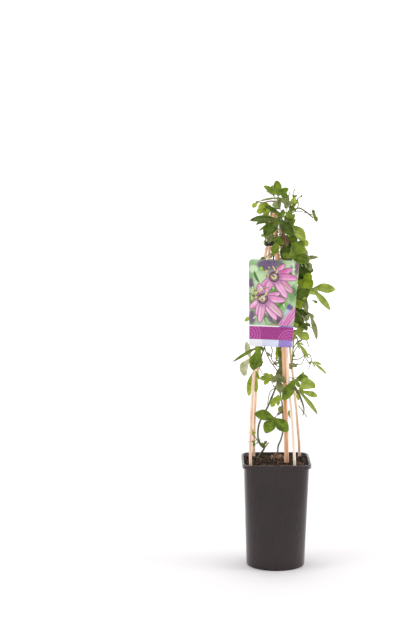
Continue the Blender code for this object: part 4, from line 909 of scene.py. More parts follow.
def build_crumbs(earth):
    """Clods, bark chips and fibres lying on the soil."""
    draw = random.Random(SEEDS["litter"])
    bark = soil_finish("bark_chip", srgb(70, 42, 26), srgb(128, 84, 52), srgb(168, 120, 82))
    bm = bmesh.new()
    for i in range(CLOD_COUNT):
        x, y = draw.uniform(-CLOD_REACH, CLOD_REACH), draw.uniform(-CLOD_REACH, CLOD_REACH)
        if abs(x) > CORNER_REACH and abs(y) > CORNER_REACH:
            continue
        chip = i % CHIP_EVERY == 0
        size = draw.uniform(0.08, 0.2) if chip else draw.uniform(0.1, 0.3)
        flat = draw.uniform(0.25, 0.4) if chip else draw.uniform(0.6, 0.9)
        long = draw.uniform(1.6, 3.0) if chip else draw.uniform(0.8, 1.3)
        axis = Vector((draw.uniform(-1, 1), draw.uniform(-1, 1), draw.uniform(-0.4, 0.4)))
        radii = vec((size, size * flat, size * long))
        level = 1 if chip else 2
        knob(bm, vec((x, y, soil_height(x, y))), radii, axis, mat=int(chip), level=level, rough=0.7)
    piece("soil_clods", bm, [earth, bark])
    bm = bmesh.new()
    for _ in range(FIBRE_COUNT):
        x, y = draw.uniform(-FIBRE_REACH, FIBRE_REACH), draw.uniform(-FIBRE_REACH, FIBRE_REACH)
        turn, length = draw.uniform(0, TAU), draw.uniform(0.4, 1.3)
        points = []
        for k in range(4):
            turn += draw.uniform(-0.6, 0.6)
            points.append(vec((x, y, soil_height(x, y) + draw.uniform(0.02, 0.12))))
            x, y = x + math.cos(turn) * length / 3, y + math.sin(turn) * length / 3
        if all(max(abs(p.x), abs(p.y)) < FIBRE_LIMIT * CM for p in points):
            path = spline_points(points, 0.12 * CM)
            sweep(bm, path, [FIBRE_RADIUS * CM] * len(path), sides=5)
    piece("soil_fibres", bm, [bark])


def build_plug():
    bm = bmesh.new()
    bmesh.ops.create_icosphere(bm, subdivisions=5, radius=1.0)
    for vert in bm.verts:
        lump = noise.fractal(vert.co * 2.4, 0.8, 2.0, 5)
        bump = 1.0 + 0.13 * lump - 0.02
        vert.co = vec([PLUG_CENTRE[i] + vert.co[i] * PLUG_RADII[i] * bump for i in range(3)])
    peat = soil_finish("plug_peat", srgb(58, 38, 26), srgb(142, 110, 88), srgb(224, 192, 164))
    piece("root_plug_fine", bm, [peat], "root_plug")


# ---------------------------------------------------------------- canes, tie, hook

def build_canes():
    tan = cane_finish("cane_wood", srgb(216, 166, 128), srgb(240, 202, 170), srgb(252, 232, 212))
    brown = cane_finish("cane_wood_warm", srgb(196, 130, 84), srgb(232, 176, 132), srgb(250, 212, 176))
    cream = cane_finish("cane_wood_pale", srgb(234, 200, 172), srgb(248, 226, 206), srgb(254, 242, 230))
    woods = {"cane_centre": brown, "cane_front_right": cream}
    for name, (radius, points) in CANES.items():
        path = smooth_route(points, 0.8)
        bm = bmesh.new()
        path, radii = rounded_ends(path, radius * CM, 0.05 * CM)
        sweep(bm, path, radii, sides=20)
        cane = piece(name + "_fine", bm, [woods.get(name, tan)], name)
        cane.data.set_sharp_from_angle(angle=math.radians(60))


def point_at_height(path, height):
    """The first place where a path crosses a height, and its direction there."""
    for a, b in zip(path, path[1:]):
        low, high = sorted((a.z, b.z))
        if low <= height <= high and high > low:
            share = (height - a.z) / (b.z - a.z)
            return a.lerp(b, share), (b - a).normalized()
    raise ValueError(f"no point at height {height}")


def build_tie():
    """A soft band around the canes where they come together."""
    centres = []
    for radius, points in CANES.values():
        centre, _ = point_at_height(smooth_route(points, 2), TIE_HEIGHT * CM)
        centres.append((centre, radius * CM))
    loops = []
    for k in range(TIE_SECTIONS + 1):
        turn = k * TAU / TIE_SECTIONS
        circle = (math.cos(turn), math.sin(turn))
        flat = [math.copysign(abs(share) ** TIE_ROUNDNESS, share) for share in circle]
        offset = (TIE_CLEARANCE + TIE_THICKNESS / 2 + TIE_THICKNESS / 2 * flat[0]) * CM
        loop = []
        for i in range(TIE_SIDES):
            angle = i * TAU / TIE_SIDES
            out = Vector((math.cos(angle), math.sin(angle), 0.0))
            centre, radius = max(centres, key=lambda c: c[0].dot(out) + c[1])
            point = centre + out * (radius + offset)
            point.z = (TIE_HEIGHT + flat[1] * TIE_BAND / 2) * CM
            loop.append(point)
        loops.append(loop)
    bm = bmesh.new()
    loft(bm, loops)
    bmesh.ops.remove_doubles(bm, verts=bm.verts, dist=1e-6)
    piece("cane_tie_fine", bm, [rubber_finish("tie_rubber")], "cane_tie")


def build_hook():
    """The hanger from the label's hole up to the tie, hooked over it."""
    x, y, z = LABEL_HOLE
    points = [(x, y + HOOK_LEAD, z - 0.02), (x, y - HOOK_LEAD, z + 0.02), (x - 0.02, y - HOOK_LEAD, z + 0.5),
              (x - 0.05, y - 0.1, z + 1.4), (x - 0.1, HOOK_FRONT, z + 2.6),
              (x - 0.1, HOOK_FRONT, HOOK_TOP - 0.05), (x - 0.1, HOOK_END, HOOK_TOP + 0.05)]
    path = smooth_route(points, 0.12)
    path, radii = rounded_ends(path, HOOK_RADIUS * CM, 0.03 * CM)
    bm = bmesh.new()
    sweep(bm, path, radii, sides=14)
    piece("label_hook_fine", bm, [rubber_finish("hook_plastic")], "label_hook")


# ---------------------------------------------------------------- label

LABEL_TOP = -LABEL_HOLE_INSET
LABEL_FOOT = LABEL_LENGTH - LABEL_HOLE_INSET
PICTURE_FOOT = LABEL_TOP + 13.0
BAND_TOP = LABEL_TOP + 13.25
BAND_FOOT = LABEL_TOP + 15.8
INK_LAYER = 0.0025
BLURRED_LEAVES = 46
FILAMENT_COUNT = 76
CORONA_TEETH = 40


def label_half_width(down):
    share = (down - LABEL_TOP) / LABEL_LENGTH
    return (LABEL_TOP_WIDTH + (LABEL_FOOT_WIDTH - LABEL_TOP_WIDTH) * share) / 2


def label_top_at(across):
    """Where the card's top edge lies at a distance from its middle: its corners are arcs."""
    into = max(0.0, abs(across) - (LABEL_TOP_WIDTH / 2 - LABEL_CORNER))
    return LABEL_TOP + LABEL_CORNER - math.sqrt(max(0.0, LABEL_CORNER ** 2 - into ** 2))


def label_point(across, down, lift=0.0):
    """A point of the label in centimetres from its hanging hole, `lift` off its middle surface."""
    right = Vector((math.cos(LABEL_ROLL), 0.0, -math.sin(LABEL_ROLL)))
    lower = Vector((-math.sin(LABEL_ROLL), -math.tan(LABEL_LEAN), -math.cos(LABEL_ROLL)))
    outward = lower.cross(right).normalized()
    if outward.y > 0:
        outward = -outward
    return vec(LABEL_HOLE) + (right * across + lower * down + outward * lift) * CM


def build_label():
    columns = [math.sin(math.pi / 2 * k / 24) for k in range(-24, 25)]
    rows = [k / 24 for k in range(25)]
    bm = bmesh.new()
    sides = []
    for lift in (LABEL_THICKNESS / 2, -LABEL_THICKNESS / 2):
        grid = []
        for row in rows:
            line = []
            for column in columns:
                top = label_top_at(column * LABEL_TOP_WIDTH / 2)
                down = top + row * (LABEL_FOOT - top)
                line.append(bm.verts.new(label_point(column * label_half_width(down), down, lift)))
            grid.append(line)
        sides.append(grid)
        for upper, lower in zip(grid, grid[1:]):
            for k in range(len(columns) - 1):
                bm.faces.new((upper[k], upper[k + 1], lower[k + 1], lower[k]))
    front, back = sides
    border = [[(0, k) for k in range(len(columns))], [(len(rows) - 1, k) for k in range(len(columns))],
              [(k, 0) for k in range(len(rows))], [(k, len(columns) - 1) for k in range(len(rows))]]
    for run in border:
        for (r, c), (r2, c2) in zip(run, run[1:]):
            bm.faces.new((front[r][c], front[r2][c2], back[r2][c2], back[r][c]))
    label = piece("label_card_fine", bm, [card_finish()], "label")
    bm = bmesh.new()
    sweep(bm, [label_point(0, 0, 1), label_point(0, 0, -1)], [LABEL_HOLE_RADIUS * CM] * 2, sides=40)
    bmesh.ops.recalc_face_normals(bm, faces=bm.faces)
    carve(label, bm)
    label.data.set_sharp_from_angle(angle=math.radians(40))


def between(first, second):
    """A colour function that runs from one display colour to another along a shape."""
    return lambda u, v: blend_of(srgb(*first), srgb(*second), v)


class Print:
    """The label's printing: thin shapes laid over one another, each with its own colours."""

    def __init__(self):
        self.bm = bmesh.new()
        self.ink = self.bm.verts.layers.float_color.new("ink")
        self.layer = 1
        self.foot = LABEL_FOOT

    def grid(self, place, colour, across, along):
        """A sheet of (across x along) cells; place and colour are functions of two shares."""
        rows = []
        for i in range(along + 1):
            row = []
            for j in range(across + 1):
                u, v = j / across, i / along
                x, down = place(u, v)
                half = label_half_width(down) - 0.01
                x = min(half, max(-half, x))
                down = min(self.foot - 0.01, max(label_top_at(x) + 0.01, down))
                lift = LABEL_THICKNESS / 2 + self.layer * INK_LAYER
                vert = self.bm.verts.new(label_point(x, down, lift))
                vert[self.ink] = colour(u, v)
                row.append(vert)
            rows.append(row)
        for upper, lower in zip(rows, rows[1:]):
            for j in range(across):
                self.bm.faces.new((upper[j], lower[j], lower[j + 1], upper[j + 1]))

    def block(self, left, right, top, foot, colour, across=10, along=10):
        """A rectangle whose sides are shares of the card's width, from -1 to 1."""
        def place(u, v):
            down = top + (foot - top) * v
            return (left + (right - left) * u) * label_half_width(down), down
        self.grid(place, colour, across, along)

    def tongue(self, base, angle, length, width, colour, bend=0.0, along=10, foot=0.0):
        """A petal, leaf or stroke from a base point, `angle` measured up from the right."""
        def place(u, v):
            turn = angle + bend * v
            swell = foot + (1 - foot) * math.sin(math.pi / 2 * min(1.0, v / 0.5)) ** 0.8
            side = (2 * u - 1) * width / 2 * swell * max(0.0, 1 - v ** 4) ** 0.6
            x = base[0] + math.cos(turn) * length * v - math.sin(turn) * side
            down = base[1] - math.sin(turn) * length * v - math.cos(turn) * side
            return x, down
        self.grid(place, colour, 4, along)

    def ring(self, centre, inner, outer, colour, count=32):
        """A round spot, or a ring if `inner` isn't 0."""
        def place(u, v):
            radius = inner + (outer - inner) * v
            return centre[0] + math.cos(u * TAU) * radius, centre[1] - math.sin(u * TAU) * radius
        self.grid(place, colour, count, 3)


# The picture's blurred patches: middle, half width, half height and colour.
PICTURE_PATCHES = [
    (-1.6, 0.5, 1.9, 1.3, (98, 66, 118)), (0.6, 0.6, 1.4, 1.5, (118, 84, 136)),
    (4.4, 0.9, 0.5, 1.6, (122, 78, 100)),
    (3.6, 1.1, 0.4, 1.6, (220, 236, 216)), (-4.3, 4.2, 0.7, 1.1, (104, 66, 118)),
    (-3.0, 3.6, 1.0, 1.7, (196, 228, 176)), (-3.9, 1.4, 1.0, 0.9, (212, 234, 196)),
    (3.1, 4.9, 1.6, 0.8, (196, 228, 196)), (0.2, 5.2, 1.2, 0.8, (92, 150, 58)),
    (1.9, 8.1, 1.5, 0.7, (126, 186, 66)), (3.5, 8.7, 0.6, 0.8, (92, 66, 158)),
    (3.3, 9.9, 0.6, 0.9, (200, 206, 240)), (0.6, 10.6, 2.0, 1.6, (108, 76, 122)),
    (1.6, 11.9, 1.5, 0.9, (92, 66, 106)), (-4.2, 10.9, 0.8, 1.6, (112, 78, 122)),
    (-2.4, 11.0, 0.7, 1.4, (168, 208, 160)), (-1.6, 12.2, 2.2, 0.5, (176, 206, 176)),
    (3.9, 5.9, 0.8, 2.0, (112, 156, 96)), (0.4, 12.4, 1.8, 0.4, (148, 152, 84)),
]


# The printed flowers: layer, middle, and each petal as (degrees, length, width, green-backed).
PRINTED_FLOWERS = [
    (10, (0.15, 2.8), [(59, 3.3, 1.2, False), (26, 3.9, 1.25, False), (-73, 2.7, 1.2, False),
                       (-143, 3.1, 1.2, False), (-121, 3.4, 1.35, False), (-33, 4.9, 1.4, True),
                       (1, 4.7, 1.4, False), (-61, 5.0, 1.45, False)]),
    (28, (-1.95, 7.2), [(70, 2.4, 1.1, False), (108, 3.1, 1.35, False), (20, 3.7, 1.2, False),
                        (-145, 3.2, 1.35, False), (-113, 3.6, 1.2, False), (-57, 5.1, 1.35, False),
                        (1, 4.6, 1.45, False), (-90, 4.9, 1.35, False), (-35, 5.4, 1.4, True)]),
]

# The printed bud's petals: foot, lean, length and width.
PRINTED_BUD = [(1.5, 0.85, 2.2, 0.8), (3.1, 1.12, 4.3, 1.3), (2.2, 0.98, 4.6, 1.15), (2.6, 1.02, 4.9, 0.6)]


def blend_of(first, second, share):
    return tuple(a + (b - a) * share for a, b in zip(first, second))


def draw_background(sheet, draw):
    """Soft, out-of-focus greens and purples, with a few sharper leaves."""
    greens = [srgb(104, 156, 56), srgb(160, 212, 120), srgb(226, 242, 214), srgb(66, 112, 50)]
    base, mist = srgb(132, 178, 104), srgb(196, 224, 178)

    def ground(u, v):
        across, down = (2 * u - 1) * 4.8, LABEL_TOP + v * (PICTURE_FOOT - LABEL_TOP)
        tone = noise.noise(Vector((u * 4.1, v * 5.2, 1.3)))
        colour = blend_of(base, mist, min(1.0, max(0.0, 0.45 + 1.3 * tone)))
        for x, y, wide, tall, patch in PICTURE_PATCHES:
            reach = math.hypot((across - x) / wide, (down - y) / tall)
            colour = blend_of(colour, srgb(*patch), 0.95 * (1 - smooth_step(reach, 0.6, 1.15)))
        return colour

    sheet.foot = PICTURE_FOOT
    sheet.block(-1, 1, LABEL_TOP, PICTURE_FOOT, ground, 56, 76)
    for _ in range(BLURRED_LEAVES):
        sheet.layer += 0.14
        start = (draw.uniform(-4.8, 4.6), draw.uniform(0.6, 12.6))
        tone, other = draw.choice(greens), draw.choice(greens)
        sheet.tongue(start, draw.uniform(0.7, 2.4), draw.uniform(1.0, 2.8), draw.uniform(0.25, 0.8),
                     lambda u, v: blend_of(tone, other, v), bend=draw.uniform(-0.6, 0.6))
    sheet.layer += 0.5
    sheet.ring((-2.5, 1.25), 0.0, 0.42, between((178, 226, 74), (124, 178, 40)), count=20)


def draw_anthers(sheet, draw, middle, count, spread):
    """A cluster of pale anthers and dark red stigmas about a point."""
    for i in range(count):
        angle = i * TAU / count + draw.uniform(-0.4, 0.4)
        reach = draw.uniform(0.35, 1.0) * spread
        head = (middle[0] + reach * math.cos(angle), middle[1] - reach * math.sin(angle))
        sheet.layer += 0.4
        if i % 3:
            light, dark = srgb(242, 240, 160), srgb(166, 164, 70)
            sheet.tongue(head, angle + 1.2, 0.6, 0.34, lambda u, v: blend_of(light, dark, abs(2 * u - 1)),
                         along=5, foot=0.4)
        else:
            sheet.ring(head, 0.0, 0.16, between((86, 22, 44), (140, 44, 80)), count=12)


def draw_flower(sheet, draw, centre, petals):
    """A passion flower: petals, a ring of filaments, the corona and the anthers."""
    rose, pale, deep = srgb(222, 78, 172), srgb(255, 214, 238), srgb(146, 30, 112)
    for degrees, length, width, green in petals:
        sheet.layer += 0.3
        warm = draw.uniform(-0.05, 0.35)
        streak = draw.uniform(0, 9)

        def petal(u, v, warm=warm, streak=streak, green=green):
            side = 2 * u - 1
            grain = noise.noise(Vector((u * 3 + streak, v * 2.5, streak)))
            light = abs(side - 0.25) * 0.8 + warm + 0.35 * grain
            colour = blend_of(rose, pale, min(1.0, max(0.0, light)))
            colour = blend_of(colour, deep, 0.85 * (1 - smooth_step(v, 0.12, 0.5)))
            if green and abs(side) < 0.4:
                colour = blend_of(colour, srgb(150, 160, 84), smooth_step(v, 0.3, 0.55) * 0.7)
            edge = smooth_step(abs(side), 0.75, 1.0) * 0.55
            return blend_of(colour, deep, max(edge, smooth_step(v, 0.88, 1.0) * 0.4))

        bend = draw.uniform(-0.12, 0.12)
        sheet.tongue(centre, math.radians(degrees), length + 0.08, width + 0.2, lambda u, v: deep, bend=bend,
                     along=16, foot=0.45)
        sheet.layer += 0.3
        sheet.tongue(centre, math.radians(degrees), length, width, petal, bend=bend, along=16, foot=0.35)
    sheet.layer += 1
    for i in range(FILAMENT_COUNT):
        angle = i * TAU / FILAMENT_COUNT
        reach = draw.uniform(1.35, 1.85)
        start = (centre[0] + math.cos(angle) * 0.6, centre[1] - math.sin(angle) * 0.6)
        tip = srgb(236, 190, 238) if i % 3 else srgb(190, 96, 190)
        sheet.tongue(start, angle, reach - 0.6, 0.07, lambda u, v: blend_of(srgb(112, 30, 100), tip, v),
                     along=3, foot=0.6)
    sheet.layer += 1
    sheet.ring(centre, 0.0, 1.05, between((96, 36, 52), (48, 14, 30)))
    sheet.layer += 1
    for i in range(CORONA_TEETH):
        angle = i * TAU / CORONA_TEETH
        start = (centre[0] + math.cos(angle) * 0.7, centre[1] - math.sin(angle) * 0.7)
        sheet.tongue(start, angle, 0.2, 0.05, lambda u, v: srgb(214, 180, 190), along=2, foot=0.6)
    sheet.layer += 1
    sheet.ring(centre, 0.0, 0.58, between((244, 238, 222), (206, 186, 176)))
    sheet.layer += 1
    sheet.ring((centre[0] - 0.1, centre[1] - 0.05), 0.0, 0.24, between((76, 26, 36), (150, 90, 80)))
    draw_anthers(sheet, draw, (centre[0] - 0.65, centre[1] - 0.75), 18, 1.35)


def draw_band(sheet):
    """A magenta band with tone-on-tone swirls, over bare pale and violet blocks."""
    plum, orchid = srgb(158, 20, 128), srgb(206, 96, 178)

    def swirls(u, v):
        x, y = (u - 0.5) * 9.2, v * (BAND_FOOT - BAND_TOP)
        near = min(math.hypot(x + 4.6, y - 1.6), math.hypot(x - 3.9, y - 2.9))
        wave = 0.5 + 0.5 * math.sin(TAU * near / 0.55)
        return blend_of(plum, orchid, wave ** 2 * (0.95 if near < 2.7 else 0.1))

    sheet.layer = 2
    sheet.foot = LABEL_FOOT
    sheet.block(-1, 1, BAND_TOP, BAND_FOOT, swirls, 90, 26)
    lilac, violet = srgb(218, 224, 248), srgb(150, 128, 208)
    sheet.block(-0.38, 0.36, BAND_FOOT, LABEL_FOOT, lambda u, v: lilac, 2, 2)
    sheet.block(0.36, 1, BAND_FOOT, LABEL_FOOT, lambda u, v: violet, 2, 2)
    sheet.block(0.36, 1, PICTURE_FOOT, BAND_TOP, lambda u, v: violet, 2, 1)


def draw_bud(sheet):
    """A closed pink bud at the picture's lower right."""
    rose, pale = srgb(186, 54, 146), srgb(244, 178, 222)
    sheet.layer += 1
    for x, lean, length, width in PRINTED_BUD:
        sheet.layer += 0.5
        sheet.tongue((x, PICTURE_FOOT - 0.05), lean, length, width,
                     lambda u, v: blend_of(rose, pale, abs(2 * u - 1) ** 0.7), foot=0.45, along=14)


def build_print():
    draw = random.Random(SEEDS["print"])
    sheet = Print()
    draw_background(sheet, draw)
    for layer, centre, petals in PRINTED_FLOWERS:
        sheet.layer = layer
        draw_flower(sheet, draw, centre, petals)
    draw_anthers(sheet, draw, (-4.0, 6.3), 16, 1.2)
    draw_bud(sheet)
    draw_band(sheet)
    bmesh.ops.dissolve_degenerate(sheet.bm, dist=1e-7, edges=sheet.bm.edges)
    bmesh.ops.recalc_face_normals(sheet.bm, faces=sheet.bm.faces)
    obj = piece("label_print", sheet.bm, [ink_finish()], fix_normals=False)
    shell = obj.modifiers.new("Ink", "SOLIDIFY")
    shell.thickness = INK_LAYER * 0.4 * CM
    shell.offset = 0.0


# ---------------------------------------------------------------- stems

def stem_path(name, step=STEM_STEP):
    """The centreline of a stem or a side shoot, and its radius."""
    if name in STEMS:
        radius, points = STEMS[name]
        return smooth_route(points, step), radius * CM
    radius, stem, height, points = SHOOTS[name]
    start, outward = leave_stem(stem, height, vec(points[0]))
    route = [start, start + outward * 3 * radius * CM, *(vec(p) for p in points)]
    return spline_points(route, step * CM), radius * CM


def leave_stem(stem, height, target):
    """Where a side growth starts: just off the stem's skin, and its outward direction."""
    path, radius = stem_path(stem)
    centre, along = point_at_height(path, height * CM)
    outward = target - centre
    outward = (outward - along * outward.dot(along)).normalized()
    return centre + outward * radius, outward


def little_blade(bm, base, axis, face, length, width, mat=0):
    """A small pointed leaflet: stipule, bract or young leaf."""
    axis = axis.normalized()
    side = face.cross(axis).normalized()
    up = axis.cross(side)
    steps = 7
    layers = []
    for half in (0.018, -0.018):
        rows = []
        for k in range(1, steps):
            share = k / steps
            spread = width / 2 * math.sin(math.pi * share ** 0.85)
            row = []
            for across in (-1, -0.5, 0, 0.5, 1):
                lift = length * 0.22 * share ** 2 + abs(across) * spread * 0.35
                thin = half * (1 - 0.6 * abs(across))
                point = axis * length * share + side * across * spread + up * (thin - lift + 0.04)
                row.append(bm.verts.new(base + point * CM))
            rows.append(row)
        layers.append(rows)
    root = bm.verts.new(base)
    tip = bm.verts.new(base + (axis * length - up * (length * 0.22)) * CM)
    faces = []
    for rows in layers:
        for lower, upper in zip(rows, rows[1:]):
            for j in range(4):
                faces.append(bm.faces.new((lower[j], lower[j + 1], upper[j + 1], upper[j])))
        for j in range(4):
            faces.append(bm.faces.new((root, rows[0][j], rows[0][j + 1])))
            faces.append(bm.faces.new((tip, rows[-1][j + 1], rows[-1][j])))
    top, low = layers
    for edge in (0, 4):
        line = list(zip([r[edge] for r in top], [r[edge] for r in low]))
        faces.append(bm.faces.new((root, line[0][0], line[0][1])))
        faces.append(bm.faces.new((tip, line[-1][0], line[-1][1])))
        for (a, b), (c, d) in zip(line, line[1:]):
            faces.append(bm.faces.new((a, c, d, b)))
    for face_ in faces:
        face_.material_index = mat


def node_heights(name):
    """The heights at which leaves, tendrils and shoots leave a stem."""
    grown = [*LEAVES.values(), *TENDRILS.values()]
    heights = [height for stem, height, *_ in grown if stem == name]
    return heights + [height for _, stem, height, _ in SHOOTS.values() if stem == name]


def build_stems(bark, sprout):
    for name in (*STEMS, *SHOOTS):
        path, radius = stem_path(name, 0.35)
        nodes = [point_at_height(path, height * CM)[0] for height in node_heights(name)]
        radii = []
        for i, point in enumerate(path):
            near = min([(point - node).length for node in nodes], default=1.0) / CM
            swell = 0.22 * math.exp(-(near / 0.4) ** 2)
            share = i / (len(path) - 1)
            rough = 0.05 * noise.noise(point * 260)
            radii.append(radius * (1.0 + swell + rough) * (1.0 - 0.35 * share ** 3))
        bm = bmesh.new()
        points, ends = rounded_ends(path, radii[0], 0.04 * CM)
        widths = [ends[0], ends[1], radii[0], *radii[1:-1], radii[-1], radii[-1] * 0.8, radii[-1] * 0.4]
        sweep(bm, points, widths, sides=12)
        if name == "main_stem":
            stub = smooth_route(CUT_STUB, 0.15)
            stub, ends = rounded_ends(stub, CUT_STUB_RADIUS * CM, 0.03 * CM)
            sweep(bm, stub, ends, sides=12, mat=1)
        dry = skin_finish("stem_stub")
        piece(name + "_fine", bm, [bark, dry] if name == "main_stem" else [bark], name)
    build_stipules(sprout)


def build_stipules(sprout):
    """A pair of small stipules and an axil bud where each leaf leaves its stem."""
    draw = random.Random(SEEDS["stipules"])
    bm = bmesh.new()
    for stem, height, centre, *_ in LEAVES.values():
        path, radius = stem_path(stem)
        middle, along = point_at_height(path, height * CM)
        start, outward = leave_stem(stem, height, vec(centre))
        side = along.cross(outward)
        for way in (-1, 1):
            axis = (side * way + outward * 0.5 + along * draw.uniform(-0.1, 0.6)).normalized()
            base = middle + side * way * radius * 0.8 + outward * radius * 0.4
            little_blade(bm, base, axis, outward, draw.uniform(0.45, 0.8), draw.uniform(0.22, 0.36))
        bud = start + along * 0.16 * CM
        knob(bm, bud, vec((0.055, 0.055, 0.14)), along + outward * 0.6, level=2)
    piece("stipules", bm, [sprout])


# ---------------------------------------------------------------- leaves

class Lobe:
    """One lobe of a leaf: a bent, rippled tongue from the point where the lobes meet."""

    def __init__(self, centre, face, tip, width):
        self.centre = centre
        self.length = (tip - centre).length
        self.half_width = width * CM / 2
        self.axis = (tip - centre).normalized()
        self.side = face.cross(self.axis).normalized()
        self.up = self.axis.cross(self.side)
        self.phase = noise.noise(tip * 170) * TAU

    def reach(self, share, slope):
        """Half the width at a share of the length, kept clear of the neighbour beyond `slope`."""
        out = max(share, HUB_SHARE)
        power = LOBE_BASE if out < LOBE_WIDEST else LOBE_POINT
        skewed = out ** (math.log(0.5) / math.log(LOBE_WIDEST))
        wide = self.half_width * math.sin(math.pi * skewed) ** power
        return min(wide, out * self.length * slope) * min(1.0, share / HUB_SHARE)

    def place(self, along, across):
        """Bend a flat point of the blade into space."""
        share = max(0.0, min(1.0, along / self.length))
        lift = LOBE_ARCH * self.length * 4 * share * (1 - share) + LOBE_FOLD * abs(across)
        out = min(1.0, abs(across) / self.half_width)
        ripple = math.sin(along / self.length * 11 + self.phase + (1.5 if across > 0 else 0.0))
        lift += LOBE_RIPPLE * self.half_width * out ** 2 * ripple
        return self.centre + self.axis * along + self.side * across + self.up * lift


class Blade:
    """A leaf's middle surface: lobes in order about their meeting point, joined by webs.

    `points` holds each point with its place among the veins as (position, along, across, edge).
    """

    def __init__(self, centre, face, lobe_table):
        across = face.orthogonal().normalized()
        self.frame = (across, face.cross(across))
        self.centre = centre
        self.lobes = [Lobe(centre, face, vec(tip), width) for tip, width in lobe_table]
        self.lobes.sort(key=self.angle)
        self.angles = [self.angle(lobe) for lobe in self.lobes]
        self.points, self.faces, self.outline = [(centre, 0.0, 0.0, 0.0)], [], []
        count = len(self.lobes)
        rooms = [(self.angles[(i + 1) % count] - self.angles[i]) % TAU or TAU for i in range(count)]
        self.base = min(BASE_RADIUS * CM, min(lobe.half_width for lobe in self.lobes) * 0.5)
        fans = [self.add_lobe(lobe, rooms[i - 1], rooms[i]) for i, lobe in enumerate(self.lobes)]
        for i, fan in enumerate(fans):
            rows, tip = fan
            outer = rows[HUB_ROWS - 1:]
            self.outline += [row[0] for row in outer] + [tip] + [row[-1] for row in reversed(outer)]
            self.outline += self.add_web(rows, fans[(i + 1) % count][0], self.angles[i], rooms[i])

    def angle(self, lobe):
        return math.atan2(lobe.axis.dot(self.frame[1]), lobe.axis.dot(self.frame[0]))

    def add(self, *point):
        self.points.append(point)
        return len(self.points) - 1

    def add_lobe(self, lobe, before, after):
        rows = []
        for share in LOBE_ROWS:
            row = []
            for column in LOBE_COLUMNS:
                slope = math.tan(min((before if column < 0 else after) / 2, WIDEST))
                across = column * lobe.reach(share, slope)
                row.append(self.add(lobe.place(share * lobe.length, across), share * lobe.length / CM,
                                    abs(across) / CM, abs(column)))
            rows.append(row)
        tip = self.add(lobe.place(lobe.length, 0.0), lobe.length / CM, 0.0, 1.0)
        for k in range(len(LOBE_COLUMNS) - 1):
            self.faces.append((0, rows[0][k], rows[0][k + 1]))
            self.faces += [(low[k], high[k], high[k + 1], low[k + 1]) for low, high in zip(rows, rows[1:])]
            self.faces.append((rows[-1][k], tip, rows[-1][k + 1]))
        return rows, tip

    def add_web(self, rows, next_rows, angle, room):
        """The blade between two lobes' bases, or its short rounded base where they are far apart."""
        inner = [0, 0]
        for r in range(HUB_ROWS):
            first, last = rows[r][-1], next_rows[r][0]
            arc = []
            if room > WEB_ANGLE:
                count = round((room - 2 * BASE_TURN) / 0.4)
                for k in range(count + 1):
                    turn = angle + BASE_TURN + (room - 2 * BASE_TURN) * k / count
                    radius = self.base * (r + 1) / HUB_ROWS
                    flat = self.frame[0] * math.cos(turn) + self.frame[1] * math.sin(turn)
                    arc.append(self.add(self.centre + flat * radius, radius / CM, 0.2, (r + 1) / HUB_ROWS))
            chain = [first, *arc, last]
            for k in range(len(chain) - 1):
                if r == 0:
                    self.faces.append((0, chain[k], chain[k + 1]))
                else:
                    self.faces.append((inner[k], chain[k], chain[k + 1], inner[k + 1]))
            inner = chain
        return inner[1:-1]


def add_blade(bm, blade, tone=0):
    """Give a blade thickness as a closed shell whose vertices know their place among the veins."""
    layers = [bm.verts.layers.float.get(name) or bm.verts.layers.float.new(name)
              for name in ("vein_along", "vein_across", "vein_edge")]
    normals = [Vector() for _ in blade.points]
    for corner in blade.faces:
        a, b, c = (blade.points[i][0] for i in corner[:3])
        flat = (b - a).cross(c - a)
        for i in corner:
            normals[i] += flat
    rim = set(blade.outline)
    sheets = []
    for way in (1, -1):
        verts = []
        for i, (position, along, across, edge) in enumerate(blade.points):
            thick = BLADE_THICKNESS / 2 * CM * (BLADE_EDGE if i in rim else 1.0)
            vert = bm.verts.new(position + normals[i].normalized() * way * thick)
            for layer, value in zip(layers, (along, across, edge)):
                vert[layer] = value
            verts.append(vert)
        for corner in blade.faces:
            made = bm.faces.new([verts[i] for i in corner[::way]])
            made.material_index = tone if way == 1 else tone + 1
        sheets.append(verts)
    top, low = sheets
    for i, j in zip(blade.outline, blade.outline[1:] + blade.outline[:1]):
        bm.faces.new((top[i], low[i], low[j], top[j])).material_index = tone + 1


def add_ribs(bm, blade, mat):
    """The midribs, which stand proud of the lower side."""
    for lobe in blade.lobes:
        size = min(1.0, lobe.length / (3 * CM))
        ribs = [lobe.place(lobe.length * k / 12, 0.0) - lobe.up * 0.03 * CM for k in range(12)]
        sweep(bm, ribs, [(0.05 - 0.035 * k / 11) * CM * size for k in range(12)], sides=8, mat=mat)


def build_leaf(name, mats):
    stem, height, centre, face, lobe_table = LEAVES[name]
    centre, face = vec(centre), Vector(face).normalized()
    blade = Blade(centre, face, lobe_table)
    bm = bmesh.new()
    add_blade(bm, blade)
    add_ribs(bm, blade, mat=2)
    start, outward = leave_stem(stem, height, centre)
    knee = start + outward * PETIOLE_STUB * CM
    reach = (centre - knee).length
    behind = face * min(PETIOLE_BACK * reach, PETIOLE_MOST_BACK * CM)
    middle = knee.lerp(centre, 0.5) + Vector((0, 0, PETIOLE_RISE * reach)) - behind
    end = centre - face * 0.02 * CM
    path = spline_points([start, knee, middle, end], 0.15 * CM)
    last = len(path) - 1
    radii = [PETIOLE_RADIUS * CM * (1.15 - 0.35 * math.sin(math.pi * min(1.0, k / last * 1.1))) for k in
             range(last + 1)]
    sweep(bm, path, radii, sides=10, mat=2)
    gland = path[int(last * 0.55)]
    side = (path[int(last * 0.55) + 1] - gland).cross(face).normalized()
    for way in (-1, 1):
        knob(bm, gland + side * way * PETIOLE_RADIUS * CM, vec((0.045, 0.045, 0.06)), side, mat=2, level=1)
    piece(name + "_fine", bm, mats, name, fix_normals=False)


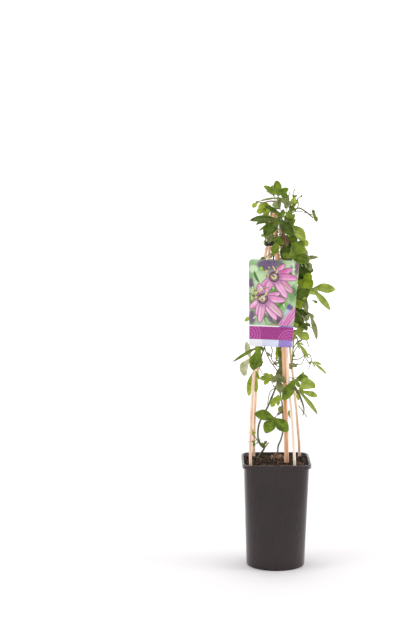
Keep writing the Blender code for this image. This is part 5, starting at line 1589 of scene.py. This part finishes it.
def build_leaves(stalk):
    tones = {tone: leaf_finish("leaf_" + tone, *colours(table)) for tone, table in LEAF_COLOURS.items()}
    under = {
        "green": underside_finish("leaf_under", *colours(UNDER_COLOURS["green"])),
        "young": underside_finish("leaf_under_young", *colours(UNDER_COLOURS["young"])),
        "grey": underside_finish("leaf_under_grey", *colours(UNDER_COLOURS["grey"])),
    }
    under["pale"] = under["grey"]
    pairs = {tone: (look, under.get(tone, under["green"])) for tone, look in tones.items()}
    for name in LEAVES:
        tone = next((key for key, names in LEAF_TONES.items() if name in names), "green")
        build_leaf(name, [*pairs[tone], stalk])
    build_sprigs(pairs, stalk)


def add_stalk(bm, start, end, radius, mat):
    """A thin stalk that rises a little on its way."""
    middle = start.lerp(end, 0.5) + Vector((0, 0, 0.12 * (end - start).length))
    path = spline_points([start, middle, end], 0.15 * CM)
    sweep(bm, path, [radius * CM] * len(path), sides=8, mat=mat)


def build_sprigs(pairs, stalk):
    """The small leaves that have no solid of their own in the model."""
    tones = list(pairs)
    mats = [mat for pair in pairs.values() for mat in pair] + [stalk]
    bm = bmesh.new()
    for tone, start, centre, lobe_table in SPRIGS:
        blade = Blade(vec(centre), Vector(SPRIG_FACE).normalized(), lobe_table)
        add_blade(bm, blade, tone=2 * tones.index(tone))
        add_stalk(bm, vec(start), vec(centre), SPRIG_STALK, len(mats) - 1)
    piece("sprig_leaves", bm, mats, fix_normals=False)
    draw = random.Random(SEEDS["thicket"])
    bm = bmesh.new()
    for stem, low, high, count, reach in THICKETS:
        path, _ = stem_path(stem)
        for _ in range(count):
            start, _ = point_at_height(path, draw.uniform(low, high) * CM)
            turn = draw.uniform(0, TAU)
            out = Vector((math.cos(turn), math.sin(turn), draw.uniform(-0.5, 0.5))).normalized()
            if start.z < (LABEL_HOLE[2] + THICKET_CLEAR) * CM:
                out.y = abs(out.y)
            centre = start + out * draw.uniform(0.4, 1.0) * reach * CM
            face = Vector((draw.uniform(-0.4, 0.4), draw.uniform(-0.4, 0.4), 1.0))
            face = (face - out * face.dot(out) + out * 0.5).normalized()
            size = draw.uniform(0.8, 1.7)
            lobes = []
            for spread, share in ((-THICKET_SPREAD, 0.75), (0.0, 1.0), (THICKET_SPREAD, 0.75)):
                axis = Matrix.Rotation(spread, 3, face) @ (out - face * out.dot(face)).normalized()
                tip = centre / CM + (axis * size * share + Vector((0, 0, -0.25 * size)))
                lobes.append((tip, 0.42 * size))
            add_blade(bm, Blade(centre, face, lobes), tone=2 * draw.choice((0, 0, 1, 1, 1, 2)))
            add_stalk(bm, start, centre, THICKET_STALK, len(mats) - 1)
    piece("thicket_leaves", bm, mats, fix_normals=False)


def build_twigs(mats):
    kinds = list(mats)
    bm = bmesh.new()
    for kind, first, last, points in TWIGS:
        path = smooth_route(points, 0.2)
        end = len(path) - 1
        radii = []
        for k in range(end + 1):
            rough = 1 + 0.12 * noise.noise(path[k] * 300)
            radii.append((first + (last - first) * k / end) * TWIG_GIRTH * CM * rough)
        sweep(bm, path, radii, sides=8, mat=kinds.index(kind))
    for middle, radius in BUDS:
        radii = vec((radius, radius, radius * 1.3)) * BUD_GIRTH
        knob(bm, vec(middle), radii, Vector(BUD_AXIS), level=3, rough=0.1)
    piece("twigs_and_buds", bm, list(mats.values()))


def build_tendrils(mat):
    for name, (stem, height, points, coil) in TENDRILS.items():
        reach = [vec(p) for p in points]
        start, outward = leave_stem(stem, height, reach[0])
        if coil:
            radius, turns, drop = coil
            end = reach[-1]
            for i in range(1, int(turns * 6) + 1):
                angle = i * math.pi / 3
                reach.append(end + vec((radius * (1 - math.cos(angle)), radius * math.sin(angle),
                                        -drop * i / (turns * 6))))
        path = spline_points([start, start + outward * 0.2 * CM, *reach], 0.12 * CM)
        last = len(path) - 1
        radii = [TENDRIL_RADIUS * CM * (1.0 - 0.6 * (k / last) ** 1.5) for k in range(last + 1)]
        bm = bmesh.new()
        sweep(bm, path, radii, sides=8)
        piece(name + "_fine", bm, [mat], name)


# ---------------------------------------------------------------- studio

def look_at(obj, target):
    direction = Vector(target) - obj.location
    obj.rotation_euler = direction.to_track_quat("-Z", "Y").to_euler()


def add_camera():
    data = bpy.data.cameras.new("camera")
    data.lens = CAMERA_LENS
    data.sensor_fit = "VERTICAL"
    data.sensor_height = SENSOR
    camera = add_object("camera", data)
    camera.location = CAMERA_PLACE
    camera.rotation_euler = (math.pi / 2 - CAMERA_TILT, 0.0, 0.0)
    bpy.context.scene.camera = camera


def add_light(name, place, target, size, power):
    data = bpy.data.lights.new(name, "AREA")
    data.size = size
    data.energy = power
    light = add_object(name, data)
    light.location = place
    look_at(light, target)


def add_studio():
    """A white sweep of paper that glows far from the plant, with the lights and a pale world."""
    paper = Finish("paper_sweep", Roughness=0.9)
    away = paper.node("VectorMath", {0: paper.coords()}, operation="LENGTH").outputs["Value"]
    glow = paper.remap(away, GLOW_NEAR, GLOW_FAR, 0.0, GLOW_STRENGTH)
    paper.tree.links.new(glow, paper.shader.inputs["Emission Strength"])
    paper.shader.inputs["Emission Color"].default_value = (1.0, 1.0, 1.0, 1.0)
    paper.color(paper.mix(paper.noise(3, 2), srgb(244, 241, 243), srgb(248, 246, 247)))
    bm = bmesh.new()
    profile = [(PAPER_FRONT, 0.0), (PAPER_BACK, 0.0)]
    for k in range(1, PAPER_CURVE_STEPS + 1):
        turn = k * math.pi / 2 / PAPER_CURVE_STEPS
        profile.append((PAPER_BACK + PAPER_CURVE * math.sin(turn), PAPER_CURVE * (1 - math.cos(turn))))
    profile.append((PAPER_BACK + PAPER_CURVE, PAPER_TOP))
    sides = (-PAPER_HALF_WIDTH, PAPER_HALF_WIDTH)
    lines = [[bm.verts.new((x, y, z)) for y, z in profile] for x in sides]
    for k in range(len(profile) - 1):
        bm.faces.new((lines[0][k], lines[1][k], lines[1][k + 1], lines[0][k + 1]))
    mesh = mesh_from("sweep", bm)
    mesh.materials.append(paper.mat)
    mesh.shade_smooth()
    sweep_paper = add_object("sweep", mesh)
    world = bpy.data.worlds.new("studio")
    world.use_nodes = True
    sky = world.node_tree.nodes["Background"].inputs
    sky["Color"].default_value = WORLD_COLOUR
    sky["Strength"].default_value = WORLD_STRENGTH
    bpy.context.scene.world = world
    for name, setting in LIGHTS.items():
        add_light(name, *setting)
    bpy.context.scene.view_settings.view_transform = "Standard"


def main():
    add_camera()
    add_studio()
    build_pot()
    build_soil()
    build_plug()
    build_canes()
    build_tie()
    build_label()
    build_print()
    build_hook()
    bark = skin_finish("stem_bark")
    stalk = skin_finish("leaf_stalk")
    wire = skin_finish("tendril_skin")
    sprout = skin_finish("sprout_green")
    build_stems(bark, sprout)
    build_leaves(stalk)
    build_tendrils(wire)
    # The dark twig's finish is painted shade.
    shadow = skin_finish("shaded_twig")
    dry = skin_finish("dry_twig")
    build_twigs({"green": sprout, "brown": dry, "pale": wire, "dark": shadow})


main()
